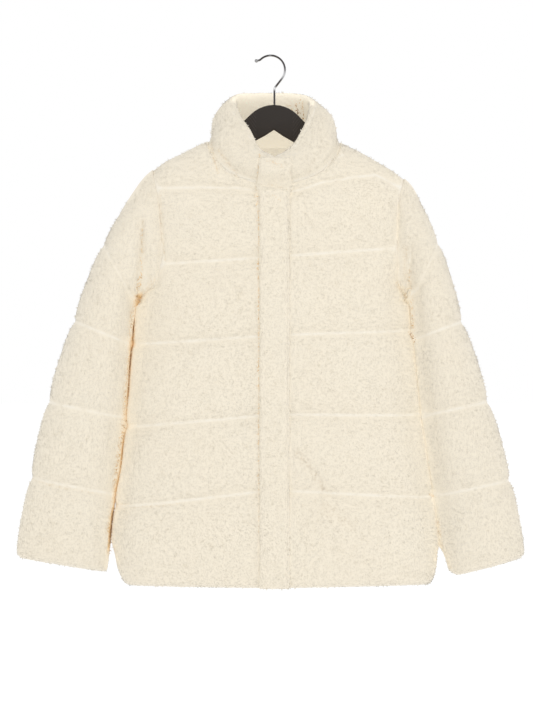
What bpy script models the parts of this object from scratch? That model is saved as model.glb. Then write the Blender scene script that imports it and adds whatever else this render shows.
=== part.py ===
"""Sherpa puffer jacket on a hanger.

The cloth is a padded wall. Its inner side is plain and follows the garment's cut; its outer side
rises between the stitched quilting lines. Each cut piece is one closed solid, and pieces that are
sewn together lie a seam gap apart. Lengths are millimetres until a mesh is made, which is metres.
The jacket hangs with +Z up and its front facing -Y, and the origin is under the hook's crown.
"""
import math

import bmesh
import bpy
import numpy as np

MM = 0.001
COLLECTION = "sherpa_puffer_jacket"

# Wall of the cloth
SEAM_GAP = 0.3
SEAM_WALL = 7.0
PUFF = 7.0
GROOVE = 12.0
GROOVE_RISE = 0.8
HEM_ROLL = 5.0
ARMHOLE_EASE = 0.6
LOW_YOKE = 45.0
LOW_YOKE_SHARE = 0.15

# Body
CENTRE_X = 5.7
SECTION_POWER = 2.6
SHOULDER_RIDGE = -81.0
SHOULDER_FALL = {-1: 0.53, 1: 0.565}
SHOULDER_ROLL = 40.0
NECK_HALF = 95.0
FRONT_NECK_Z = -194.0
BACK_NECK_Z = -136.0
YOKE_BELOW_NECK = 12.0
YOKE_BELOW_SHOULDER = 14.0
UNDERARM_Z = -365.0

# Closure
PLACKET_HALF = 22.0
PLACKET_RISE = 6.0
PLACKET_CLEARANCE = 0.5

# Collar
COLLAR_WALL = 17.0
COLLAR_BULGE = 7.0
COLLAR_SHIFT = -3.0
COLLAR_MIDDLE_Z = -130.0

# Hanger and hook
HANGER_THICK = 12.0
HANGER_TOP_Z = -72.6
HANGER_ARCH_RADIUS = 49.5
HANGER_FALL = 0.5475
HANGER_TILT = math.radians(0.9)
HANGER_HALF_SPAN = 172.0
HANGER_ARM_DEPTH = 28.0
HANGER_CLEARANCE = 2.6
HANGER_ARCH_TURN = 45
HANGER_EASE = 6.0
HANGER_BEND = 12.0
HANGER_NOTCH_HALF = 14.0
HANGER_NOTCH_RISE = 1.5
HANGER_ROUNDING = 2.5
HOOK_WIRE = 3.5
HOOK_INNER_RADIUS = 19.8
HOOK_STEM = 24.0
HOOK_ELBOW = (6.0, -44.0)
HOOK_LEAVE = math.radians(-38.0)
HOOK_LAST = math.radians(158.0)
HOOK_TURNS = 20
HOOK_BALL = 5.4

# Half width of the hollow on each side of the centre front, and its half depth, by height.
# Side -1 is the wearer's right, which a viewer sees on the left.
BODY_SECTIONS = [
    # height, half width -1, half width +1, half depth
    (-100.0, 205.0, 205.0, 44.0),
    (-300.0, 203.0, 202.0, 47.0),
    (-365.0, 192.0, 187.0, 48.0),
    (-430.0, 201.0, 196.0, 49.0),
    (-500.0, 203.0, 202.0, 50.0),
    (-556.0, 209.0, 208.0, 51.0),
    (-620.0, 214.0, 218.0, 52.0),
    (-675.0, 223.0, 227.0, 52.0),
    (-725.0, 227.0, 230.0, 52.0),
    (-765.0, 223.0, 232.0, 51.0),
    (-787.0, 213.0, 226.0, 50.0),
]

# Distance of the armhole seam from the centre line, by height.
ARMHOLE = [
    # height, front -1, front +1, back -1, back +1
    (-165.0, 182.0, 195.0, 182.0, 195.0),
    (-185.0, 178.0, 193.0, 178.0, 193.0),
    (-212.0, 172.0, 184.0, 176.0, 187.0),
    (-250.0, 168.0, 182.0, 175.0, 184.0),
    (-290.0, 166.0, 181.0, 175.0, 182.0),
    (-320.0, 168.0, 181.0, 177.0, 182.0),
    (-345.0, 178.0, 184.0, 182.0, 184.0),
    (-365.0, 192.0, 187.0, 192.0, 187.0),
]

# Quilting lines from the yoke down to the hem, at each side seam and at the centre.
LINES = [
    # name, height at side -1, at the centre front, at side +1, at the centre back
    ("yoke", -200.0, -196.0, -174.0, -204.0),
    ("chest", -314.0, -302.0, -286.0, -300.0),
    ("ribs", -432.0, -418.0, -412.0, -416.0),
    ("waist", -555.0, -536.0, -538.0, -536.0),
    ("hip", -675.0, -648.0, -661.0, -652.0),
    ("hem", -789.0, -792.0, -788.0, -796.0),
]
UNDERARM_BAFFLE = 1

# Rows inside a baffle: which line they are measured from, how far, and their share of the puff.
BAFFLE_ROWS = [
    # from the upper line (0) or lower (1), distance or share of the baffle, puff share
    ("offset", 0, 0.0, 0.0),
    ("offset", 0, GROOVE, GROOVE_RISE),
    ("share", 0, 0.30, 1.0),
    ("share", 0, 0.50, 1.0),
    ("share", 0, 0.70, 1.0),
    ("offset", 1, GROOVE, GROOVE_RISE),
]
# Rows between a panel's top edge and the yoke line: share of the way, share of the puff.
FAN_ROWS = [(0.0, 0.0), (0.12, 0.6), (0.36, 1.0), (0.62, 1.0), (0.86, 0.8)]
HEM_ROWS = [("offset", 1, HEM_ROLL, 0.55), ("offset", 1, 0.0, 0.0)]

# Columns from the placket's edge out to the neck point, as shares of the way, then to the side.
NECK_SHARES = (0.0, 0.34, 0.64, 0.88, 0.98, 1.0)
SIDE_COLUMNS = 6

# Drag lines of the hanging cloth: from and to (distance from the centre, height), rise, half width.
FOLDS = {
    (-1, -1): [
        (52.0, -357.0, 190.0, -552.0, 4.5, 17.0),
        (82.0, -552.0, 149.0, -650.0, 4.0, 15.0),
    ],
    (-1, 1): [
        (31.0, -590.0, 76.0, -653.0, 4.5, 14.0),
        (76.0, -672.0, 118.0, -706.0, 3.5, 13.0),
        (40.0, -477.0, 113.0, -537.0, 3.0, 16.0),
    ],
    (1, -1): [
        (60.0, -330.0, 170.0, -500.0, 4.0, 18.0),
        (40.0, -690.0, 130.0, -740.0, 3.5, 15.0),
    ],
    (1, 1): [
        (50.0, -450.0, 160.0, -600.0, 4.0, 18.0),
        (60.0, -230.0, 140.0, -280.0, 3.0, 16.0),
    ],
}

# Sleeve sections at the quilting lines, from the one above the elbow to the cuff.
SLEEVES = {
    -1: [
        # outer edge x, z, inner edge x, z, half depth
        (-251.4, -284.0, -204.5, -363.6, 55.0),
        (-293.4, -397.0, -210.5, -430.0, 58.0),
        (-332.4, -518.0, -220.5, -541.0, 52.0),
        (-357.9, -631.0, -233.5, -656.0, 41.0),
        (-379.5, -748.0, -243.5, -770.5, 31.0),
    ],
    1: [
        (251.1, -280.0, 211.5, -363.6, 55.0),
        (285.6, -398.0, 216.5, -422.0, 58.0),
        (324.6, -517.0, 230.0, -538.0, 53.0),
        (357.6, -635.0, 247.0, -658.0, 46.0),
        (379.0, -748.0, 265.0, -778.0, 42.0),
    ],
}
SLEEVE_POWER = 2.2
CAP_ROWS = [(0.12, 0.8, 0.8), (0.28, 1.0, 1.0), (0.45, 1.0, -0.5), (0.65, 1.0, 1.0), (0.88, 0.8, 0.8)]
SLEEVE_ROWS = [(0.11, 0.8, 0.8), (0.5, 1.0, 1.0), (0.89, 0.8, 0.8)]
CUFF_ROWS = [(0.11, 0.8, 0.8), (0.5, 1.0, 1.0), (0.89, 0.8, 0.8), (0.96, 0.5, 0.5)]

# Middle of the collar's rolled top edge, round from the centre front to the centre back.
COLLAR_RIM = [
    # angle, x, y, z
    (0.0, 0.0, -47.0, -151.0),
    (30.0, 24.0, -43.0, -139.0),
    (60.0, 44.0, -30.0, -111.0),
    (90.0, 55.0, -6.0, -84.0),
    (120.0, 56.0, 18.0, -65.0),
    (150.0, 34.0, 36.0, -58.0),
    (180.0, 0.0, 42.0, -57.0),
]
COLLAR_ROWS = [
    # share of the height, share of the full wall
    (0.12, 0.5),
    (0.3, 0.85),
    (0.55, 1.0),
    (0.8, 1.0),
    (0.93, 0.78),
    (1.0, 0.35),
]


def table(rows, key, column):
    """One column of a table that is read by height, smooth between its rows."""
    heights = np.array([row[0] for row in rows])[::-1]
    values = np.array([row[column] for row in rows])[::-1]
    slopes = np.gradient(values, heights)
    key = float(np.clip(key, heights[0], heights[-1]))
    place = int(np.clip(np.searchsorted(heights, key) - 1, 0, len(heights) - 2))
    step = heights[place + 1] - heights[place]
    share = (key - heights[place]) / step
    square, cube = share * share, share ** 3
    return float(
        (2 * cube - 3 * square + 1) * values[place]
        + (cube - 2 * square + share) * step * slopes[place]
        + (3 * square - 2 * cube) * values[place + 1]
        + (cube - square) * step * slopes[place + 1]
    )


def half_width(height, side):
    return table(BODY_SECTIONS, height, 1 if side < 0 else 2)


def half_depth(height):
    return table(BODY_SECTIONS, height, 3)


def armhole(height, side, face):
    column = (1 if side < 0 else 2) + (2 if face > 0 else 0)
    return table(ARMHOLE, height, column)


def shoulder_height(distance, side):
    """Inner side of the wall along the shoulder seam."""
    return SHOULDER_RIDGE - SHOULDER_FALL[side] * abs(distance)


def top_height(distance, side, face):
    """Top edge of a panel: the neck seam, then the shoulder seam."""
    if abs(distance) >= NECK_HALF:
        return shoulder_height(distance, side)
    low = BACK_NECK_Z if face > 0 else FRONT_NECK_Z
    neck_point = shoulder_height(NECK_HALF, side)
    return neck_point + (low - neck_point) * math.sqrt(1.0 - (distance / NECK_HALF) ** 2)


def line_height(index, distance, side, face):
    _, at_right, at_front, at_left, at_back = LINES[index]
    edge = at_right if side < 0 else at_left
    middle = at_back if face > 0 else at_front
    share = min(abs(distance) / half_width(edge, side), 1.0)
    height = middle + (edge - middle) * share
    if index == 0:
        height = min(
            height,
            top_height(distance, side, face) - YOKE_BELOW_NECK,
            shoulder_height(distance, side) - YOKE_BELOW_SHOULDER,
        )
    return height


def roll_depth(drop):
    """Share of the full depth at a drop below the shoulder ridge."""
    if drop >= SHOULDER_ROLL:
        return 1.0
    return math.sqrt(max(0.0, 1.0 - (1.0 - drop / SHOULDER_ROLL) ** 2))


def roll_path(drop):
    """Length walked from the ridge, round the shoulder's roll, to a drop below it."""
    if drop >= SHOULDER_ROLL:
        return SHOULDER_ROLL * math.pi / 2 + drop - SHOULDER_ROLL
    return SHOULDER_ROLL * math.acos(1.0 - max(drop, 0.0) / SHOULDER_ROLL)


def roll_drop(path):
    quarter = SHOULDER_ROLL * math.pi / 2
    if path >= quarter:
        return SHOULDER_ROLL + path - quarter
    return SHOULDER_ROLL * (1.0 - math.cos(path / SHOULDER_ROLL))


def fan_row(share):
    """A row between a panel's top edge and the yoke line."""
    def height(distance, side, face):
        ridge = shoulder_height(distance, side)
        start = roll_path(ridge - top_height(distance, side, face))
        end = roll_path(ridge - line_height(0, distance, side, face))
        return ridge - roll_drop(start + (end - start) * share)
    return height


def baffle_row(baffle, kind, end, amount):
    """A row between two quilting lines; the underarm's own row meets the underarm at the side."""
    def height(distance, side, face):
        upper = line_height(baffle, distance, side, face)
        lower = line_height(baffle + 1, distance, side, face)
        if kind == "offset":
            return (upper - amount) if end == 0 else (lower + amount)
        share = amount
        if baffle == UNDERARM_BAFFLE:
            edge_up = LINES[baffle][1 if side < 0 else 3]
            edge_down = LINES[baffle + 1][1 if side < 0 else 3]
            middle = (UNDERARM_Z - edge_up) / (edge_down - edge_up)
            at_edge = 2 * amount * middle if amount <= 0.5 else 1 - 2 * (1 - amount) * (1 - middle)
            share += (at_edge - amount) * min(abs(distance) / half_width(UNDERARM_Z, side), 1.0)
        return upper + (lower - upper) * share
    return height


def body_rows():
    """Every row of a panel, top to hem, with its puff share, and the index of the underarm's."""
    rows = [(fan_row(share), puff) for share, puff in FAN_ROWS]
    underarm = None
    for baffle in range(len(LINES) - 1):
        for kind, end, amount, puff in BAFFLE_ROWS:
            if baffle == UNDERARM_BAFFLE and kind == "share" and amount == 0.5:
                underarm = len(rows)
            rows.append((baffle_row(baffle, kind, end, amount), puff))
    for kind, end, amount, puff in HEM_ROWS:
        rows.append((baffle_row(len(LINES) - 2, kind, end, amount), puff))
    return rows, underarm


ROWS, UNDERARM_ROW = body_rows()
NECK_POINT = len(NECK_SHARES)
REACH = NECK_POINT + SIDE_COLUMNS


def section_angle(distance, width):
    return math.asin(min(distance / width, 1.0) ** (SECTION_POWER / 2))


def edge_distance(row, side, face):
    """Where a row ends: at the armhole above the underarm, at the side seam from there down."""
    height_of = ROWS[row][0]
    if row >= UNDERARM_ROW:
        width = half_width(height_of(half_width(UNDERARM_Z, side), side, face), side)
        return width, width
    distance = half_width(UNDERARM_Z, side)
    for _ in range(6):
        height = height_of(distance, side, face)
        distance = armhole(height, side, face)
    return distance, half_width(height, side)


def column_angles(row, side, face):
    """Angles round the section of a row's columns: centre, placket edge, neck point, side."""
    edge, width = edge_distance(row, side, face)
    first = section_angle(PLACKET_HALF, width)
    last = math.pi / 2 if row >= UNDERARM_ROW else section_angle(edge, width)
    top_edge, top_width = edge_distance(0, side, face)
    top_first = section_angle(PLACKET_HALF, top_width)
    top_last = section_angle(top_edge, top_width)
    neck = (section_angle(NECK_HALF, top_width) - top_first) / (top_last - top_first)
    shares = [neck * share for share in NECK_SHARES]
    shares += [neck + (1 - neck) * index / SIDE_COLUMNS for index in range(1, SIDE_COLUMNS + 1)]
    return [0.0] + [first + (last - first) * share for share in shares], width


def half_panel(side, face):
    """Inner points of one half of a panel, rows by columns, from the centre line outwards."""
    grid = []
    for row, (height_of, _) in enumerate(ROWS):
        angles, width = column_angles(row, side, face)
        points = []
        for angle in angles:
            distance = width * math.sin(angle) ** (2 / SECTION_POWER)
            height = height_of(distance, side, face)
            depth = half_depth(height) * max(math.cos(angle), 0.0) ** (2 / SECTION_POWER)
            drop = shoulder_height(distance, side) - height
            points.append((CENTRE_X + side * distance, face * depth * roll_depth(drop), height))
        grid.append(points)
    return np.array(grid)


def fold_rise(points, side, face):
    """Rise of the drag lines at an array of points."""
    rise = np.zeros(points.shape[:-1])
    across = side * (points[..., 0] - CENTRE_X)
    for x0, z0, x1, z1, height, spread in FOLDS[(face, side)]:
        along = np.array([x1 - x0, z1 - z0])
        length = np.hypot(*along)
        along = along / length
        run = (across - x0) * along[0] + (points[..., 2] - z0) * along[1]
        off = (across - x0) * along[1] - (points[..., 2] - z0) * along[0]
        share = np.clip(run / length, 0.0, 1.0)
        rise += height * np.sin(math.pi * share) ** 0.7 * np.exp(-((off / spread) ** 2))
    return rise


def unit(vectors):
    return vectors / np.maximum(np.linalg.norm(vectors, axis=-1, keepdims=True), 1e-9)


def panel_normals(grid, sign):
    across = np.gradient(grid, axis=1)
    down = np.gradient(grid, axis=0)
    down[0] = grid[1] - grid[0]
    return unit(np.cross(across, down) * sign)


def row_puffs():
    return np.array([puff for _, puff in ROWS])


def half_wall(side, face, grid):
    """Wall thickness over one half of a panel."""
    columns = grid.shape[1]
    share = np.repeat(row_puffs()[:, None], columns, axis=1)
    share[:UNDERARM_ROW + 1, -1] = 0.0
    share[:UNDERARM_ROW, -2] *= ARMHOLE_EASE
    fan = len(FAN_ROWS)
    tall = np.linalg.norm(grid[fan] - grid[0], axis=-1)
    share[:fan] *= np.clip(tall / LOW_YOKE, LOW_YOKE_SHARE, 1.0)
    wall = SEAM_WALL + PUFF * share
    return wall + fold_rise(grid, side, face) * share


def panel_surfaces(grid, wall, sign, flat_seams):
    """Inner and outer points of a panel, with its seam edges held half a seam gap back."""
    normals = panel_normals(grid, sign)
    face = flat_seams["face"]
    for columns in flat_seams["sides"]:
        normals[UNDERARM_ROW:, columns, 1] = 0.0
    shoulder = flat_seams["shoulder"]
    for column in shoulder:
        side = 1 if grid[0, column, 0] > CENTRE_X else -1
        normals[0, column] = (side * SHOULDER_FALL[side], 0.0, 1.0)
    if flat_seams["centre"] is not None:
        normals[:, 0, 0] = 0.0
    normals = unit(normals)
    inner = grid.copy()
    outer = grid + normals * wall[..., None]
    for points in (inner, outer):
        points[0, shoulder, 1] = face * SEAM_GAP / 2
        for columns in flat_seams["sides"]:
            points[UNDERARM_ROW:, columns, 1] = face * SEAM_GAP / 2
        if flat_seams["centre"] is not None:
            points[:, 0, 0] = CENTRE_X + flat_seams["centre"] * SEAM_GAP / 2
    return {"inner": inner, "outer": outer, "normals": normals, "grid": grid}


def front_panel(side):
    grid = half_panel(side, -1)
    seams = {
        "face": -1,
        "sides": [-1],
        "shoulder": list(range(NECK_POINT, REACH + 1)),
        "centre": side,
    }
    return panel_surfaces(grid, half_wall(side, -1, grid), -side, seams)


def back_panel():
    """Both halves of the back as one piece, from side -1 across to side +1."""
    halves = {side: half_panel(side, 1) for side in (-1, 1)}
    walls = {side: half_wall(side, 1, halves[side]) for side in (-1, 1)}
    middle = (halves[-1][:, :1] + halves[1][:, :1]) / 2
    middle_wall = (walls[-1][:, :1] + walls[1][:, :1]) / 2
    grid = np.concatenate([halves[-1][:, :0:-1], middle, halves[1][:, 1:]], axis=1)
    wall = np.concatenate([walls[-1][:, :0:-1], middle_wall, walls[1][:, 1:]], axis=1)
    shoulders = [column for column in range(2 * REACH + 1) if abs(column - REACH) >= NECK_POINT]
    seams = {"face": 1, "sides": [0, -1], "shoulder": shoulders, "centre": None}
    return panel_surfaces(grid, wall, 1, seams)


def beside(outer, inner, gap, closed, sign):
    """A neighbour's edge, moved along the cloth to the other side of the seam gap."""
    moved = []
    ways = unit(outer - inner)
    for points in (outer, inner):
        steps = np.roll(points, -1, axis=0) - points
        middle_ways = unit(ways + np.roll(ways, -1, axis=0))
        spans = unit(np.cross(unit(steps), middle_ways)) * sign
        before = np.roll(spans, 1, axis=0)
        if not closed:
            before[0] = spans[0]
            spans[-1] = before[-1]
        away = unit(spans + before)
        mitre = np.maximum(np.sum(away * spans, axis=1), 0.4)
        moved.append(points + away * (gap / mitre)[:, None])
    return moved[0], moved[1]


def armhole_edge(side, front, back):
    """Outer and inner points round an armhole: down the front from the shoulder, up the back."""
    column = -1 if side > 0 else 0
    count = UNDERARM_ROW
    result = []
    for key in ("outer", "inner"):
        down = front[key][:count + 1, -1]
        up = back[key][:count + 1, column]
        ring = np.concatenate([down, up[count - 1:0:-1]])
        ring[0] = (down[0] + up[0]) / 2
        ring[count] = (down[count] + up[count]) / 2
        result.append(ring)
    return beside(result[0], result[1], SEAM_GAP, True, -side)


def sleeve_section(section, shares):
    """Outer and inner points of one sleeve section across the sleeve's own line."""
    outer_x, outer_z, inner_x, inner_z, depth = section
    outward = np.array([outer_x - inner_x, 0.0, outer_z - inner_z])
    half = np.linalg.norm(outward) / 2
    outward = outward / (2 * half)
    middle = np.array([(outer_x + inner_x) / 2, 0.0, (outer_z + inner_z) / 2])
    rings = []
    for wall in (0.0, SEAM_WALL):
        ring = []
        for share in shares:
            angle = math.pi * share
            run = math.copysign(abs(math.cos(angle)) ** (2 / SLEEVE_POWER), math.cos(angle))
            rise = math.copysign(abs(math.sin(angle)) ** (2 / SLEEVE_POWER), math.sin(angle))
            point = middle + outward * (half - wall) * run
            point[1] = -(depth - wall) * rise
            ring.append(point)
        rings.append(np.array(ring))
    return rings[0], rings[1]


def sleeve(side, front, back):
    """A sleeve as rings of points: the armhole's, then each quilting line's, the last at the cuff."""
    root_outer, root_inner = armhole_edge(side, front, back)
    count = len(root_outer)
    steps = np.linalg.norm(np.diff(root_outer, axis=0, append=root_outer[:1]), axis=1)
    walked = np.concatenate([[0.0], np.cumsum(steps)])[:-1]
    half = count // 2
    front_share = walked[:half + 1] / walked[half]
    back_share = 1 + (walked[half + 1:] - walked[half]) / (steps.sum() - walked[half])
    by_length = np.concatenate([front_share, back_share])
    even = np.arange(count) / half
    keys = [(root_outer, root_inner)]
    for index, section in enumerate(SLEEVES[side]):
        blend = min(1.0, 0.45 + 0.35 * index)
        shares = by_length + (even - by_length) * blend
        keys.append(sleeve_section(section, shares))
    toward_body = np.clip(-np.cos(math.pi * even), 0.0, 1.0) ** 2
    low = np.clip((1 - np.abs(even - 1)) * 2 - 0.7, 0.0, 1.0)
    outer_rings, inner_rings = [root_outer], [root_inner]
    for index in range(len(keys) - 1):
        rows = CAP_ROWS if index == 0 else SLEEVE_ROWS
        if index == len(keys) - 2:
            rows = CUFF_ROWS
        for share, puff_top, puff_low in list(rows) + [(1.0, 0.0, 0.0)]:
            outer = keys[index][0] + (keys[index + 1][0] - keys[index][0]) * share
            inner = keys[index][1] + (keys[index + 1][1] - keys[index][1]) * share
            puff = (puff_top + (puff_low - puff_top) * low) * (1 - 0.8 * toward_body)
            outward = unit(outer - inner)
            outer_rings.append(outer + outward * (PUFF * puff)[:, None])
            inner_rings.append(inner)
    return {"outer": np.array(outer_rings), "inner": np.array(inner_rings)}


def neck_edge(fronts, back):
    """Outer and inner points round the neck seam, from the centre front over side +1 and back."""
    result = []
    for key in ("outer", "inner"):
        left = fronts[1][key][0, :NECK_POINT + 1]
        right = fronts[-1][key][0, :NECK_POINT + 1]
        over = back[key][0, REACH - NECK_POINT:REACH + NECK_POINT + 1][::-1]
        ring = np.concatenate([left, over[1:-1], right[::-1]])
        ring[NECK_POINT] = (left[-1] + over[0]) / 2
        ring[-NECK_POINT - 1] = (right[-1] + over[-1]) / 2
        result.append(ring)
    return beside(result[0], result[1], SEAM_GAP, False, -1)


def rim_point(angle):
    """Middle of the collar's top edge at an angle from the centre front, either way round."""
    side = 1.0 if angle <= 180.0 else -1.0
    angle = min(angle, 360.0 - angle)
    keys = [(-row[0],) + row[1:] for row in COLLAR_RIM]
    x, y, z = (table(keys, -angle, column) for column in (1, 2, 3))
    return np.array([CENTRE_X + side * x, y, z])


def collar(fronts, back):
    """The stand collar as rows of points from the neck seam up to its rolled edge."""
    base_outer, base_inner = neck_edge(fronts, back)
    base = (base_outer + base_inner) / 2
    walked = np.concatenate([[0.0], np.cumsum(np.linalg.norm(np.diff(base, axis=0), axis=1))])
    angles = 360.0 * walked / walked[-1]
    rim = np.array([rim_point(angle) for angle in angles])
    centre = np.array([CENTRE_X, 0.0, COLLAR_MIDDLE_Z])
    shift = np.array([COLLAR_SHIFT, 0.0, 0.0]) * np.sin(np.radians(angles) / 2)[:, None]
    base_way = unit(base_outer - base_inner)
    outer_rows, inner_rows = [base_outer], [base_inner]
    along = unit(np.gradient(base, axis=0) + np.gradient(rim, axis=0))
    way = unit(np.cross(along, rim - base))
    way = way * np.sign(np.sum(way * (base - centre) * [1, 1, 0], axis=1))[:, None]
    for share, fullness in COLLAR_ROWS:
        middle = base + (rim + shift - base) * share
        middle = middle + way * COLLAR_BULGE * math.sin(math.pi * share) ** 2
        turn = min(1.0, share * 2.0)
        outward = unit(base_way * (1 - turn) + way * turn)
        half = outward * COLLAR_WALL * fullness / 2
        outer_rows.append(middle + half)
        inner_rows.append(middle - half)
    outer, inner = np.array(outer_rows), np.array(inner_rows)
    for points in (outer, inner):
        points[:, 0, 0] = CENTRE_X + SEAM_GAP / 2
        points[:, -1, 0] = CENTRE_X - SEAM_GAP / 2
    return {"outer": outer, "inner": inner}


def collar_place(neck, column, height):
    """Point of the collar's outer side up one column to a height, and the way out of the wall."""
    heights = neck["outer"][:, column, 2]
    point, inside = (
        np.array([np.interp(height, heights, neck[key][:, column, axis]) for axis in range(3)])
        for key in ("outer", "inner")
    )
    return point, unit(point - inside)


def placket(fronts, neck):
    """The flap over the closure, made from the points of the collar and fronts under it."""
    rows = len(COLLAR_ROWS) - 1
    top = neck["outer"][rows, 0, 2]
    under, full = [], []
    for row in range(rows, -1, -1):
        heights = neck["outer"][row, :, 2]
        columns = [collar_place(neck, column, top if row == rows else heights[column])
                   for column in (-2, -1, 0, 1)]
        middle = ((columns[1][0] + columns[2][0]) / 2, unit(columns[1][1] + columns[2][1]))
        columns = [columns[0], middle, columns[3]]
        under.append([point + way * PLACKET_CLEARANCE for point, way in columns])
        full.append([point + way * (PLACKET_CLEARANCE + PLACKET_RISE) for point, way in columns])
    for row in range(1, len(ROWS)):
        edges = {side: fronts[side]["outer"][row] for side in (-1, 1)}
        ways = {side: fronts[side]["normals"][row] for side in (-1, 1)}
        bases = {side: fronts[side]["grid"][row] for side in (-1, 1)}
        middle = (edges[-1][0] + edges[1][0]) / 2
        way = unit(ways[-1][0] + ways[1][0])
        wall = SEAM_WALL + PLACKET_RISE + PUFF * min(1.0, row / (len(FAN_ROWS) - 1))
        under.append([
            edges[-1][1] + ways[-1][1] * PLACKET_CLEARANCE,
            middle + way * PLACKET_CLEARANCE,
            edges[1][1] + ways[1][1] * PLACKET_CLEARANCE,
        ])
        full.append([
            bases[-1][1] + ways[-1][1] * wall,
            (bases[-1][0] + bases[1][0]) / 2 + way * wall,
            bases[1][1] + ways[1][1] * wall,
        ])
    under, full = np.array(under), np.array(full)
    places = [(0, 1, 0.0, 0.45), (0, 1, 0.2, 1.0), (0, 1, 1.0, 1.0), (1, 2, 0.8, 1.0),
              (1, 2, 1.0, 0.45)]
    inner, outer = [], []
    for first, second, share, height in places:
        low = under[:, first] + (under[:, second] - under[:, first]) * share
        high = full[:, first] + (full[:, second] - full[:, first]) * share
        inner.append(low)
        outer.append(low + (high - low) * height)
    return {"outer": np.stack(outer, axis=1), "inner": np.stack(inner, axis=1)}


def material(name, colour, roughness, metallic=0.0):
    made = bpy.data.materials.new(name)
    made.use_nodes = True
    shader = made.node_tree.nodes["Principled BSDF"]
    shader.inputs["Base Color"].default_value = (*colour, 1.0)
    shader.inputs["Roughness"].default_value = roughness
    shader.inputs["Metallic"].default_value = metallic
    made.diffuse_color = (*colour, 1.0)
    return made


def finish_mesh(name, mesh, group, surface):
    mesh.shade_smooth()
    mesh.set_sharp_from_angle(angle=math.radians(50))
    mesh.materials.append(surface)
    thing = bpy.data.objects.new(name, mesh)
    group.objects.link(thing)
    return thing


def lean(point):
    """A measure that ranks two points of an edge the same way for both pieces that meet there."""
    return point.co.z + 0.5 * point.co.x + 0.2 * point.co.y


def wall_object(name, piece, closed, group, surface):
    """A padded wall between two grids of points; a closed one is a tube open at both ends."""
    outer, inner = piece["outer"], piece["inner"]
    rows, columns = outer.shape[:2]
    shape = bmesh.new()
    skins = []
    for points in (outer, inner):
        skins.append([[shape.verts.new(point * MM) for point in row] for row in points])
    spans = columns if closed else columns - 1

    def quad(a, b, c, d):
        shape.faces.new((a, b, c))
        shape.faces.new((a, c, d))

    def edge_quad(a, b, b_inner, a_inner):
        if lean(a) > lean(b):
            quad(a, b, b_inner, a_inner)
        else:
            quad(b, b_inner, a_inner, a)

    for row in range(rows - 1):
        for column in range(spans):
            after = (column + 1) % columns
            for skin in skins:
                quad(skin[row][column], skin[row][after], skin[row + 1][after], skin[row + 1][column])
    for row in (0, rows - 1):
        for column in range(spans):
            after = (column + 1) % columns
            edge_quad(skins[0][row][column], skins[0][row][after],
                      skins[1][row][after], skins[1][row][column])
    if not closed:
        for column in (0, columns - 1):
            for row in range(rows - 1):
                edge_quad(skins[0][row][column], skins[0][row + 1][column],
                          skins[1][row + 1][column], skins[1][row][column])
    bmesh.ops.recalc_face_normals(shape, faces=shape.faces)
    mesh = bpy.data.meshes.new(name)
    shape.to_mesh(mesh)
    shape.free()
    return finish_mesh(name, mesh, group, surface)


def hanger_outline():
    """Arch head, falling arms with round ends, and the notched underside, as one loop (x, z)."""
    radius = HANGER_ARCH_RADIUS
    middle_z = HANGER_TOP_Z - radius
    arch = [(radius * math.sin(math.radians(turn)), middle_z + radius * math.cos(math.radians(turn)))
            for turn in range(0, HANGER_ARCH_TURN + 1, 9)]
    slope = math.atan(HANGER_FALL)
    ridge = SHOULDER_RIDGE - HANGER_CLEARANCE
    neck = arch[-1]
    meet = (neck[1] + neck[0] - ridge) / (1 - HANGER_FALL)
    foot_z = ridge - HANGER_FALL * meet
    tip = (HANGER_HALF_SPAN, ridge - HANGER_FALL * HANGER_HALF_SPAN)
    bend = (meet + HANGER_BEND, ridge - HANGER_FALL * (meet + HANGER_BEND))
    ease = (meet - HANGER_EASE, foot_z + HANGER_EASE)
    round_radius = HANGER_ARM_DEPTH * math.cos(slope) / 2
    middle = (tip[0] - round_radius * math.sin(slope), tip[1] - round_radius * math.cos(slope))
    end = []
    for step in range(0, 7):
        turn = math.pi / 2 - slope - math.pi * step / 6
        end.append((middle[0] + round_radius * math.cos(turn), middle[1] + round_radius * math.sin(turn)))
    underside = ridge - HANGER_ARM_DEPTH
    notch = (0.0, underside + HANGER_NOTCH_RISE)
    under = (HANGER_NOTCH_HALF, underside - HANGER_FALL * HANGER_NOTCH_HALF)
    half = arch + [ease, bend] + end + [under]
    mirrored = [(-x, z) for x, z in reversed(half[1:])]
    return half + [notch] + mirrored


def hanger(group, surface):
    """The outline turned to hang a little down at side +1, filled and given its rounded thickness."""
    outline = bpy.data.curves.new("hanger_outline", "CURVE")
    outline.dimensions = "2D"
    outline.fill_mode = "BOTH"
    outline.extrude = (HANGER_THICK / 2 - HANGER_ROUNDING) * MM
    outline.bevel_depth = HANGER_ROUNDING * MM
    outline.bevel_resolution = 1
    outline.offset = -HANGER_ROUNDING * MM
    points = []
    for x, z in hanger_outline():
        dz = z - HANGER_TOP_Z
        points.append((
            CENTRE_X + x * math.cos(HANGER_TILT) + dz * math.sin(HANGER_TILT),
            HANGER_TOP_Z + dz * math.cos(HANGER_TILT) - x * math.sin(HANGER_TILT),
        ))
    spline = outline.splines.new("POLY")
    spline.points.add(len(points) - 1)
    for place, (x, z) in zip(spline.points, points):
        place.co = (x * MM, z * MM, 0.0, 1.0)
    spline.use_cyclic_u = True
    return solid_from_curve("hanger", outline, group, surface, math.pi / 2)


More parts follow.
